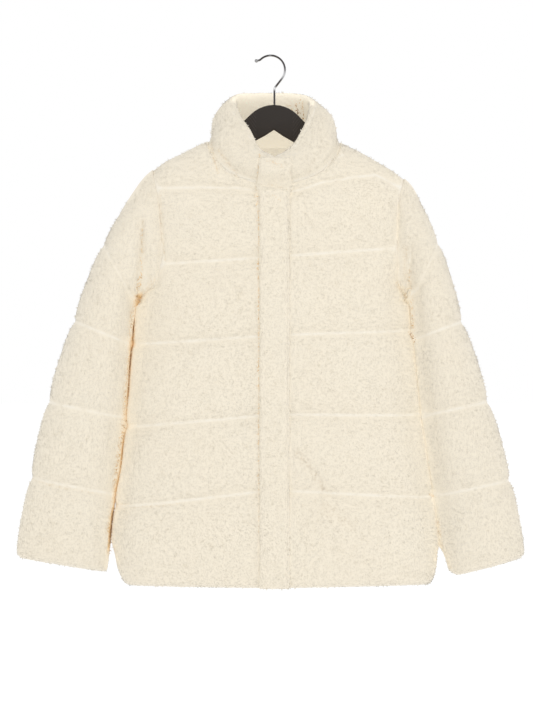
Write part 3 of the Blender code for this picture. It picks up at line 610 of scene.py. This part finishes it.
def backing(name, surface, neighbours):
    """The smooth cloth under the pile, from the CAD node's own form."""
    shape = merged(name)
    places = np.array([vert.co for vert in shape.verts])
    joined = meets(shape, neighbours)
    ways = outward(shape, joined)
    inside, puff = wall_facts(name, places, ways)
    if name == "placket":
        puff[:] = 1.0
    if name in SLEEVES:
        puff = np.maximum(puff, smoothstep(*SLEEVE_CAP, places[:, 2]))
    bmesh.ops.join_triangles(
        shape, faces=shape.faces, angle_face_threshold=JOIN_FLAT, angle_shape_threshold=JOIN_SHAPE,
    )
    sharp = shape.edges.layers.float.new("crease_edge")
    for edge in shape.edges:
        if all(joined[vert.index] for vert in edge.verts) and edge.calc_face_angle(0.0) > SEAM_CORNER:
            edge[sharp] = 1.0
    mesh = bpy.data.meshes.new(name + "_cloth")
    shape.to_mesh(mesh)
    shape.free()
    write_attribute(mesh, "inside", inside)
    write_attribute(mesh, "puff", puff)
    write_attribute(mesh, "joined", joined)
    for axis, letter in enumerate("xyz"):
        write_attribute(mesh, "out_" + letter, ways[:, axis])
    thing = bpy.data.objects.new(name + "_cloth", mesh)
    bpy.context.scene.collection.objects.link(thing)
    smooth = thing.modifiers.new("smooth", "SUBSURF")
    smooth.levels = SMOOTH_LEVELS
    smooth.render_levels = SMOOTH_LEVELS
    if name in HELD_OUT:
        drawn_in = places - mesh_points(evaluated(thing, keep=True))[:len(places)]
        mesh.vertices.foreach_set("co", (places + drawn_in).astype(np.float32).ravel())
        mesh.update()
    mesh = evaluated(thing)
    mesh.name = name + "_cloth"
    mesh.shade_smooth()
    mesh.materials.clear()
    mesh.materials.append(surface)
    settle(name, mesh)
    return thing


def ways_of(mesh):
    """The way off the cloth at each point, kept square to the wall at the seams."""
    joined = read_attribute(mesh, "joined")[:, None]
    out = np.stack([read_attribute(mesh, "out_" + letter) for letter in "xyz"], axis=1)
    return unit(mesh_points(mesh, "vertex_normals", "vector") * (1 - joined) + out * joined)


def settle(name, mesh):
    """Let the backing sink by the pile's depth, pucker along its seams, fold and lie a little uneven."""
    places = mesh_points(mesh)
    ways = ways_of(mesh)
    inside = read_attribute(mesh, "inside")
    puff = read_attribute(mesh, "puff")
    uneven = np.array([noise.noise(Vector(point) * UNEVEN_PITCH) for point in places])
    pucker = np.array([noise.noise(Vector(point)) for point in places * PUCKER_PITCH])
    seam = 1 - smoothstep(*SEAM_SUNK, puff)
    near_seam = smoothstep(*PUCKERS_START, puff) * (1 - smoothstep(*PUCKERS_END, puff))
    rise = -PILE_DEPTH - SEAM_SINK * seam + UNEVEN_RISE * uneven * puff + PUCKER_RISE * pucker * near_seam
    rise = rise * (1 - inside) - marks(name, places, ways)[0]
    normals = mesh_points(mesh, "vertex_normals", "vector")
    sideways = normals - ways * np.sum(normals * ways, axis=1, keepdims=True)
    closing = read_attribute(mesh, "joined") * SEAM_CLOSING
    places += ways * rise[:, None] + unit(sideways) * closing[:, None]
    if name == "collar":
        places += collar_slouch(places)
    elif name == "placket":
        places += flap_spread(places)
    elif name == "sleeve_left":
        corner = np.exp(-((places[:, 0] - CUFF_CORNER_X) / CUFF_CORNER_HALF) ** 2)
        places[:, 2] += CUFF_CORNER_LIFT * corner * smoothstep(*CUFF_CORNER_Z, -places[:, 2])
    top, bottom = CUFF_Z if name in SLEEVES else HEM_Z
    places[:, 2] -= FUZZ_DROP * smoothstep(-top, -bottom, -places[:, 2])
    mesh.vertices.foreach_set("co", places.astype(np.float32).ravel())
    mesh.update()


def collar_slouch(places):
    """The soft collar stands up at its back and corners, and leans inward in front of the hanger."""
    across, deep, height = places.T
    up = smoothstep(*COLLAR_UP, height)
    corner = np.exp(-((across - CORNER_X) / CORNER_HALF) ** 2)
    aside = (across - LEAN_PLACE[0]) / LEAN_HALVES[0]
    above = (height - LEAN_PLACE[1]) / LEAN_HALVES[1]
    lean = np.exp(-aside ** 2 - above ** 2) * smoothstep(*LEAN_DEEP, deep)
    moves = np.zeros(places.shape)
    moves[:, 0] = COLLAR_LEAN * lean
    moves[:, 2] = up * (COLLAR_STAND_MM + CORNER_STAND_MM * corner) * MM
    return moves


def flap_spread(places):
    """The flap keeps its full width up to the collar's rim, lying round the collar."""
    across, _, height = places.T
    at_rim = smoothstep(*FLAP_RIM, height)
    wider = NECK_SPREAD * smoothstep(*FLAP_NECK, height) + RIM_SPREAD * at_rim
    moves = np.zeros(places.shape)
    moves[:, 0] = (across - CENTRE_X) * wider + RIM_SHIFT * at_rim
    spread = (across + moves[:, 0] - CENTRE_X) ** 2 - (across - CENTRE_X) ** 2
    moves[:, 1] = spread / (2 * COLLAR_ROUND)
    return moves


def browned(place, notch):
    """How much painted brown shade a place in the slit gets, in patches."""
    patch = PATCH_MIDDLE
    for more, pitch in PATCH_NOISES:
        patch += more * noise.noise(place * pitch)
    least, most = PATCH_LIMITS
    return min(max(patch + PATCH_AT_SEAM * notch, least), most)


def press(mesh, others):
    """Close the slit where a sleeve hangs against the body, and note how deep in it each point is, as
    painted brown shade and a soft painted glow.
    """
    places = mesh_points(mesh)
    ways = ways_of(mesh)
    notch = 1 - smoothstep(*SEAM_NOTCH, read_attribute(mesh, "puff"))
    low = 1 - smoothstep(*SLIT_TOP, places[:, 2])
    brown_low = 1 - smoothstep(*BROWN_TOP, places[:, 2])
    deep = np.zeros(len(places))
    soft = np.zeros(len(places))
    moved = places.copy()
    shutting = low * smoothstep(*SLIT_BOTTOM, places[:, 2])
    lower = 1 - smoothstep(*LOWER_END, places[:, 2])
    narrow = smoothstep(*SLIT_NARROW, places[:, 2])
    for tree, side, (shut, open_from, tint, brown_end, left_open, shift, path) in others:
        fading = smoothstep(brown_end - BROWN_FADE, brown_end + BROWN_FADE, places[:, 2])
        tints = tint * fading + BROWN_LEAST
        tints += tint * DARKEST_MORE * np.exp(-((places[:, 2] - DARKEST_Z) / DARKEST_REACH) ** 2)
        on_path = np.exp(-(near_line(places, path) / BROWN_HALF) ** 2)
        for index in np.flatnonzero(low > 0):
            place = Vector(places[index])
            hit, _, _, gap = tree.find_nearest(place, open_from)
            if hit is None or gap < 1e-6:
                continue
            toward = (hit - place) / gap
            facing = smoothstep(*SLIT_FACING, toward.dot(Vector(ways[index])))
            closed = (1 - smoothstep(shut, open_from, gap)) * facing * shutting[index]
            closed *= 1 + 2 * side * shift * lower[index]
            kept = left_open * (1 - NARROWING * narrow[index])
            moved[index] += np.array(toward) * closed * max(gap - kept, 0.0) / 2
            wide = BROWN_GAP * (1 + BROWN_WIDER * notch[index])
            brown = (1 - smoothstep(BROWN_FULL * wide, wide, gap)) * facing ** BROWN_TURN * brown_low[index]
            patch = browned(place, notch[index])
            deep[index] = max(deep[index], brown * tints[index] * patch * on_path[index])
            soft[index] = max(soft[index], brown * (1 - tints[index] * patch) * SLIT_SOFT)
    write_attribute(mesh, "crease", np.clip(deep, 0.0, 1.0))
    write_attribute(mesh, "soft", np.clip(soft, 0.0, 1.0))
    return moved


# ---------------------------------------------------------------- pile

def unit(vectors):
    """Rows of three drawn out or in to length 1."""
    return vectors / np.maximum(np.linalg.norm(vectors, axis=-1, keepdims=True), 1e-9)


def scatter(mesh, covered, per_m2, seed):
    """Even random places on the covered part of a mesh: points, normals and attribute values."""
    rng = np.random.default_rng(seed)
    mesh.calc_loop_triangles()
    triangles = np.zeros(len(mesh.loop_triangles) * 3, np.int32)
    mesh.loop_triangles.foreach_get("vertices", triangles)
    triangles = triangles.reshape(-1, 3)
    places = mesh_points(mesh)
    ways = ways_of(mesh)
    corners = places[triangles]
    crossed = np.cross(corners[:, 1] - corners[:, 0], corners[:, 2] - corners[:, 0])
    areas = np.linalg.norm(crossed, axis=1) / 2
    seen = read_attribute(mesh, "joined")[triangles].mean(axis=1) < ALL_SEWN
    weights = areas * covered[triangles].mean(axis=1) * seen
    count = int(weights.sum() * per_m2)
    steps = (np.arange(count) + rng.random(count)) / count * weights.sum()
    chosen = np.searchsorted(np.cumsum(weights), steps).clip(0, len(triangles) - 1)
    first = np.sqrt(rng.random(count))
    second = rng.random(count)
    shares = np.stack([1 - first, first * (1 - second), first * second], axis=1)
    picked = triangles[chosen]
    values = {}
    for key in ("puff", "crease", "inside", "parted", "lit"):
        values[key] = (read_attribute(mesh, key)[picked] * shares).sum(axis=1)
    slope = seam_slope(corners[chosen], read_attribute(mesh, "puff")[picked])
    return {
        "place": (places[picked] * shares[..., None]).sum(axis=1),
        "way": unit((ways[picked] * shares[..., None]).sum(axis=1)),
        "slope": slope,
        "values": values,
        "rng": rng,
    }


def seam_slope(corners, puff):
    """The way along the cloth that leads off a seam fastest, by triangle."""
    edge = [corners[:, 2] - corners[:, 1], corners[:, 0] - corners[:, 2], corners[:, 1] - corners[:, 0]]
    facing = unit(np.cross(edge[2], -edge[1]))
    slope = sum(np.cross(facing, edge[index]) * puff[:, index:index + 1] for index in range(3))
    return unit(slope)


def nap(spots):
    """The way each lock leans along the cloth: down, turned by broad swirls, off the seams."""
    places, ways, rng = spots["place"], spots["way"], spots["rng"]
    swirl = np.array([noise.noise_vector(Vector(place) * SWIRL_PITCH) for place in places])
    fine = rng.normal(size=places.shape)
    seam = 1 - smoothstep(*NAP_OFF, spots["values"]["puff"])
    lean = np.array(NAP_DOWN) + swirl * SWIRL_SHARE + fine * TOUSLED_SHARE
    lean += spots["slope"] * (seam * OFF_SEAM_SHARE)[:, None]
    lean -= ways * np.sum(lean * ways, axis=1, keepdims=True)
    return unit(lean), seam


def chance(rng, count, least_and_more):
    """Random numbers from the least to the least and more together."""
    least, more = least_and_more
    return least + more * rng.random(count)


def locks(name, spots, surface):
    """Joined mesh of small pointed locks that lean with the nap."""
    rng = spots["rng"]
    values = spots["values"]
    lean, seam = nap(spots)
    places, ways = spots["place"], spots["way"]
    count = len(places)
    across = unit(np.cross(ways, lean))
    size = chance(rng, count, LOCK_SIZES) * (1 - SEAM_SHORTER * seam)
    size = size * (1 + CREASE_LONGER * values["crease"])
    wide = LOCK_RADIUS * chance(rng, count, LOCK_WIDTHS)
    turn = rng.random(count) * math.pi
    columns = []
    facings = []
    for side in range(LOCK_SIDES):
        angle = 2 * math.pi * side / LOCK_SIDES + turn
        way = across * np.cos(angle)[:, None] + lean * np.sin(angle)[:, None]
        columns.append(places + way * wide[:, None] - ways * LOCK_ROOT)
        facings.append(unit(ways + way * LOCK_ROUNDNESS))
    stray = rng.random(count) < STRAY_SHARE
    rise = np.where(stray, STRAY_RISE, LOCK_RISE) * size
    run = np.where(stray, STRAY_RUN, 1.0) * LOCK_RUN * size
    columns.append(places + ways * rise[:, None] + lean * run[:, None])
    facings.append(unit(ways + lean * LOCK_ROUNDNESS))
    verts = np.stack(columns, axis=1)
    per_lock = verts.shape[1]
    faces = np.array([((side + 1) % LOCK_SIDES, side, LOCK_SIDES) for side in range(LOCK_SIDES)])
    triangles = (faces[None] + (np.arange(count) * per_lock)[:, None, None]).reshape(-1, 3)
    mesh = bpy.data.meshes.new(name)
    mesh.from_pydata(verts.reshape(-1, 3).astype(np.float32), [], triangles)
    mesh.shade_smooth()
    mesh.normals_split_custom_set_from_vertices(np.stack(facings, axis=1).reshape(-1, 3))
    mesh.materials.append(surface)
    write_attribute(mesh, "tip", np.tile([ROOT_TIP] * LOCK_SIDES + [1.0], count))
    write_attribute(mesh, "shade", np.repeat(spots["tone"] * chance(rng, count, LOCK_TONES), per_lock))
    for key in ("crease", "parted"):
        write_attribute(mesh, key, np.repeat(values[key], per_lock))
    rooted = np.tile([ROOT_LIGHT] * LOCK_SIDES + [0.0], count)
    soaked = np.repeat(values["lit"] + STRAY_LIGHT * stray, per_lock)
    write_attribute(mesh, "lit", np.clip(soaked + rooted, 0.0, 1.0))
    thing = bpy.data.objects.new(name, mesh)
    bpy.context.scene.collection.objects.link(thing)
    return thing


def covered_by_pile(name, mesh):
    """1 where the pile shows: outside, on the rims, and inside round the neck."""
    inside = read_attribute(mesh, "inside")
    places = mesh_points(mesh)
    shown = np.where(inside < INSIDE_FROM, 1.0, 0.0)
    if name == "collar":
        shown[:] = 1.0
    if name in BODY:
        neck = (places[:, 2] > NECK_INSIDE_Z) & (np.abs(places[:, 0] - CENTRE_X) < NECK_INSIDE_HALF)
        shown[neck] = 1.0
    return shown


def soaked_light(name, mesh):
    """How much painted light glows from the cloth inside the neck and in the slits, by point, for light
    that soaks through.
    """
    places = mesh_points(mesh)
    facing_in = smoothstep(*TO_FRONT, -ways_of(mesh)[:, 1] * np.sign(places[:, 1]))
    lit = read_attribute(mesh, "inside") * facing_in
    if name == "collar":
        lit *= COLLAR_RIM_LIGHT + COLLAR_LOW_LIGHT * (1 - smoothstep(*COLLAR_LOW, places[:, 2]))
    elif name in BODY:
        lit *= NECK_LIGHT * smoothstep(*NECK_LIT, places[:, 2])
    else:
        lit[:] = 0.0
    return np.maximum(lit, read_attribute(mesh, "soft"))


def sheltered(mesh, covered, around):
    """The share of the sky that the clothes hide from each covered point, from a fan of rays."""
    ways = ways_of(mesh)
    first = unit(np.cross(ways, ASKEW))
    second = np.cross(ways, first)
    starts = (mesh_points(mesh) + ways * SHELTER_START_MM * MM).tolist()
    hidden = np.zeros(len(starts))
    shown = np.flatnonzero(covered > 0)
    for ray in range(SHELTER_RAYS):
        share = (ray + 0.5) / SHELTER_RAYS
        turn = ray * GOLDEN_ANGLE
        aside = first * math.cos(turn) + second * math.sin(turn)
        rays = (ways * math.sqrt(1 - share) + aside * math.sqrt(share)).tolist()
        for index in shown:
            if around.ray_cast(starts[index], rays[index], SHELTER_REACH)[0] is not None:
                hidden[index] += 1 / SHELTER_RAYS
    return hidden


def tree_of(*meshes):
    """A tree over the faces of one or more meshes."""
    points = []
    faces = []
    for mesh in meshes:
        faces += [tuple(corner + len(points) for corner in face.vertices) for face in mesh.polygons]
        points += mesh_points(mesh).tolist()
    return BVHTree.FromPolygons(points, faces)


def backings(surface):
    """The backing of every cloth piece, by the CAD node's name."""
    sewn = {}
    for name in CUTS:
        shape = merged(name)
        sewn[name] = BVHTree.FromBMesh(shape)
        shape.free()
    clothes = {}
    for name in CUTS:
        neighbours = [tree for other, tree in sewn.items() if other not in (name, "placket")]
        clothes[name] = backing(name, surface, [] if name == "placket" else neighbours)
    return clothes


def press_together(clothes):
    """Press the sleeves and the body on one another, each against the other's unmoved form."""
    trees = {name: tree_of(thing.data) for name, thing in clothes.items() if name in BODY + SLEEVES}
    pressed = {}
    for name, thing in clothes.items():
        others = []
        if name in BODY:
            others = [(trees[sleeve], 1, SLITS[sleeve]) for sleeve in SLEEVES]
        elif name in SLEEVES:
            others = [(trees[part], -1, SLITS[name]) for part in BODY]
        pressed[name] = press(thing.data, others)
    for name, thing in clothes.items():
        thing.data.vertices.foreach_set("co", pressed[name].astype(np.float32).ravel())
        thing.data.update()


def plant(name, thing, around, seed, surface):
    """Write a backing's painted light (emission glow) and how bright it is, and plant the pile on it."""
    mesh = thing.data
    covered = covered_by_pile(name, mesh)
    tone = TONES.get(name, 1.0)
    seam = 1 - smoothstep(*PILE_PARTED, read_attribute(mesh, "puff"))
    plain = marks(name, mesh_points(mesh), ways_of(mesh))[3]
    write_attribute(mesh, "parted", seam * (1 - read_attribute(mesh, "inside")) * (1 - plain))
    shelter = SHELTER_LIGHT * smoothstep(*SHELTER_SHARES, sheltered(mesh, covered, around))
    lit = np.maximum(soaked_light(name, mesh), shelter)
    write_attribute(mesh, "lit", lit)
    write_attribute(mesh, "tip", np.full(len(mesh.vertices), ROOT_TIP))
    write_attribute(mesh, "shade", np.full(len(mesh.vertices), tone))
    spots = scatter(mesh, covered, LOCKS_PER_M2 * (BACK_SHARE if name == "back" else 1.0), seed)
    spots["tone"] = tone
    values = spots["values"]
    _, brown, bright, plain = marks(name, spots["place"], spots["way"])
    # Painted brown shade along the folds and sewn lines, made uneven by chance.
    brown *= 0.5 + spots["rng"].random(len(brown))
    values["crease"] = np.maximum(values["crease"], brown)
    values["parted"] = np.maximum(values["parted"] * (1 - plain), bright)
    pile = locks(name + "_pile", spots, surface)
    rooted = ROOT_LIGHT * (1 - seam) + SEAM_LIGHT * seam
    write_attribute(mesh, "lit", np.clip(lit + rooted, 0.0, 1.0))
    return pile


def dress_cloth(surface):
    """Backings first, because they press on one another; then the pile."""
    clothes = backings(surface)
    press_together(clothes)
    around = tree_of(*(thing.data for thing in clothes.values()))
    for seed, (name, thing) in enumerate(clothes.items(), start=1):
        pile = plant(name, thing, around, seed, surface)
        for piece in (thing, pile):
            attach(piece, "root")
        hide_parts(name)


# ---------------------------------------------------------------- hanger and hook

def dress_hanger(surface):
    """The CAD hanger's own form with soft shading and sharp edges."""
    shape = merged("hanger")
    mesh = bpy.data.meshes.new("hanger_body")
    shape.to_mesh(mesh)
    shape.free()
    mesh.shade_smooth()
    mesh.set_sharp_from_angle(angle=math.radians(40))
    mesh.materials.append(surface)
    thing = bpy.data.objects.new("hanger_body", mesh)
    bpy.context.scene.collection.objects.link(thing)
    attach(thing, "root")
    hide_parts("hanger")


# The hook: its stem leans over by HOOK_LEAVE, sweeps round the crown and flares out to its ball.
HOOK_WIRE = 3.5 * MM
HOOK_RADIUS = 21.55 * MM
HOOK_CENTRE_Z = -19.8 * MM
HOOK_LEAVE = math.radians(38.0)
HOOK_SWEEP = math.radians(171.6)
HOOK_FLARE = math.radians(31.0)
HOOK_FLARE_RADIUS = 5.0 * MM
HOOK_TIP = 4.2 * MM
HOOK_BEND_RADIUS = 6.0 * MM
HOOK_BALL = 5.4 * MM
BALL_REACH = 0.6 * HOOK_BALL
WIRE_SIDES = 20
STEM_STEPS = 10
BEND_STEPS = 8
CROWN_STEPS = 44
# Painted reflection: the wire's flanks are painted bright as if mirroring the white studio, where its front
# is painted dark.
HOOK_EDGE = (0.50, 0.82)
BALL_EDGE = 0.5
# Painted highlights: bright glints painted along the wire: picture x, y, reach mm, strength.
HOOK_GLINTS = [
    (256.3, 61.2, 3.0, 0.45), (270.0, 55.4, 2.2, 0.3), (285.0, 75.0, 7.0, 0.75), (274.6, 88.5, 2.6, 1.0),
]


def dress_hook(surface):
    """A disc of the wire carried up the stem, round a small bend, round the crown and out at the tip."""
    shape = bmesh.new()
    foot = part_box("hook")[0].z
    lead = Vector((math.sin(HOOK_LEAVE), 0.0, math.cos(HOOK_LEAVE)))
    crown_start = Vector((HOOK_RADIUS * math.cos(HOOK_LEAVE), 0.0,
                          HOOK_CENTRE_Z - HOOK_RADIUS * math.sin(HOOK_LEAVE)))
    bend_run = HOOK_BEND_RADIUS * (1 - math.cos(HOOK_LEAVE))
    straight = (crown_start.x - CENTRE_X - bend_run) / lead.x
    bend_end = crown_start - lead * straight
    bend_foot = bend_end.z - HOOK_BEND_RADIUS * math.sin(HOOK_LEAVE)
    bmesh.ops.create_circle(
        shape, cap_ends=True, segments=WIRE_SIDES, radius=HOOK_WIRE / 2,
        matrix=Matrix.Translation((CENTRE_X, 0.0, foot)),
    )
    faces = list(shape.faces)

    def toward(angle):
        """The way at this angle above +X, seen from the front."""
        return Vector((math.cos(angle), 0.0, math.sin(angle)))

    def carry(move):
        """Draw the wire's end out by a move, and give its new end."""
        grown = bmesh.ops.extrude_face_region(shape, geom=faces)
        fresh = [item for item in grown["geom"] if isinstance(item, bmesh.types.BMVert)]
        bmesh.ops.translate(shape, verts=fresh, vec=move)
        bmesh.ops.delete(shape, geom=faces, context="FACES_ONLY")
        return [item for item in grown["geom"] if isinstance(item, bmesh.types.BMFace)]

    def swing(centre, angle, steps):
        """Draw the wire's end round a centre, and give its new end."""
        made = bmesh.ops.spin(
            shape, geom=faces, cent=centre, axis=(0.0, 1.0, 0.0), angle=angle, steps=steps,
        )["geom_last"]
        bmesh.ops.delete(shape, geom=faces, context="FACES_ONLY")
        return [item for item in made if isinstance(item, bmesh.types.BMFace)]

    for _ in range(STEM_STEPS):
        faces = carry((0.0, 0.0, (bend_foot - foot) / STEM_STEPS))
    faces = swing((CENTRE_X + HOOK_BEND_RADIUS, 0.0, bend_foot), HOOK_LEAVE, BEND_STEPS)
    for _ in range(STEM_STEPS):
        faces = carry(lead * (straight / STEM_STEPS))
    faces = swing((0.0, 0.0, HOOK_CENTRE_Z), -HOOK_SWEEP, CROWN_STEPS)
    last = HOOK_SWEEP - HOOK_LEAVE
    flare = Vector((0.0, 0.0, HOOK_CENTRE_Z)) + toward(last) * (HOOK_RADIUS + HOOK_FLARE_RADIUS)
    faces = swing(flare, HOOK_FLARE, BEND_STEPS)
    run_out = toward(last + math.pi / 2 - HOOK_FLARE) * HOOK_TIP
    tip = flare + toward(last + math.pi - HOOK_FLARE) * HOOK_FLARE_RADIUS + run_out
    carry(run_out)
    bmesh.ops.create_uvsphere(shape, u_segments=24, v_segments=16, radius=HOOK_BALL / 2,
                              matrix=Matrix.Translation(tip))
    bmesh.ops.recalc_face_normals(shape, faces=shape.faces)
    mesh = bpy.data.meshes.new("hook_wire")
    shape.to_mesh(mesh)
    shape.free()
    mesh.shade_smooth()
    mesh.set_sharp_from_angle(angle=math.radians(40))
    mesh.materials.append(surface)
    places = mesh_points(mesh)
    # Painted highlights and reflections, written into the wire's colour.
    bright = np.zeros(len(places))
    for x, y, reach, light in HOOK_GLINTS:
        glint = (np.array((x, y)) - PICTURE_ORIGIN) * (PIXEL, -PIXEL)
        away = np.linalg.norm(places[:, [0, 2]] - glint, axis=1) / (reach * MM)
        bright = np.maximum(bright, light * np.exp(-away ** 2))
    facing = np.abs(mesh_points(mesh, "vertex_normals", "vector")[:, 1])
    on_ball = np.linalg.norm(places - np.array(tip), axis=1) < BALL_REACH
    flanks = (1 - smoothstep(*HOOK_EDGE, facing)) * np.where(on_ball, BALL_EDGE, 1.0)
    bright = np.maximum(bright, flanks)
    write_attribute(mesh, "bright", bright)
    thing = bpy.data.objects.new("hook_wire", mesh)
    bpy.context.scene.collection.objects.link(thing)
    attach(thing, "root")
    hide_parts("hook")


# ---------------------------------------------------------------- stage

FLOOR_RADIUS = 60.0
FLOOR_Z = -1.25
LAMPS_AIM = (0.0, 0.0, -0.42)
# name, place, width, power
LAMPS = [
    ("key", (1.9, -2.6, 1.3), 1.6, 19.0),
    ("fill", (-2.2, -2.4, 1.0), 2.2, 8.5),
    ("back", (0.6, 3.0, 1.0), 2.0, 19.0),
]


def stage():
    """A pale floor, a white surround, a key lamp at the upper right, a fill and a lamp behind."""
    shape = bmesh.new()
    bmesh.ops.create_circle(shape, cap_ends=True, segments=96, radius=FLOOR_RADIUS,
                            matrix=Matrix.Translation((0.0, 0.0, FLOOR_Z)))
    mesh = bpy.data.meshes.new("floor")
    shape.to_mesh(mesh)
    shape.free()
    paper = Graph("pale_floor")
    mesh.materials.append(paper.finish(
        Base_Color=(0.93, 0.93, 0.93, 1.0), Roughness=1.0, Specular_IOR_Level=0.0,
        Emission_Color=(1.0, 1.0, 1.0, 1.0), Emission_Strength=0.12,
    ))
    floor = bpy.data.objects.new("floor", mesh)
    bpy.context.scene.collection.objects.link(floor)

    world = bpy.data.worlds.new("studio")
    world.use_nodes = True
    background = world.node_tree.nodes["Background"]
    background.inputs["Color"].default_value = (1.0, 1.0, 1.0, 1.0)
    background.inputs["Strength"].default_value = 1.0
    bpy.context.scene.world = world
    for name, place, width, power in LAMPS:
        data = bpy.data.lights.new(name, "AREA")
        data.size = width
        data.energy = power
        lamp = bpy.data.objects.new(name, data)
        lamp.location = place
        aim = Vector(LAMPS_AIM) - Vector(place)
        lamp.rotation_euler = aim.to_track_quat("-Z", "Y").to_euler()
        bpy.context.scene.collection.objects.link(lamp)


def camera():
    """Level and straight on; the long side of the picture spans its pixels at their real size."""
    data = bpy.data.cameras.new("camera")
    data.sensor_width = SENSOR
    data.lens = SENSOR * CAMERA_DISTANCE / (IMAGE_SIZE[1] * PIXEL)
    data.clip_end = 100.0
    eye = bpy.data.objects.new("camera", data)
    eye.location = (VIEW_CENTRE[0], -CAMERA_DISTANCE, VIEW_CENTRE[1])
    eye.rotation_euler = (math.pi / 2, 0.0, 0.0)
    bpy.context.scene.collection.objects.link(eye)
    bpy.context.scene.camera = eye


bpy.context.scene.view_settings.view_transform = "Standard"
noise.seed_set(SWIRL_SEED)
camera()
stage()
dress_cloth(pile_material())
dress_hanger(plastic_material())
dress_hook(chrome_material())
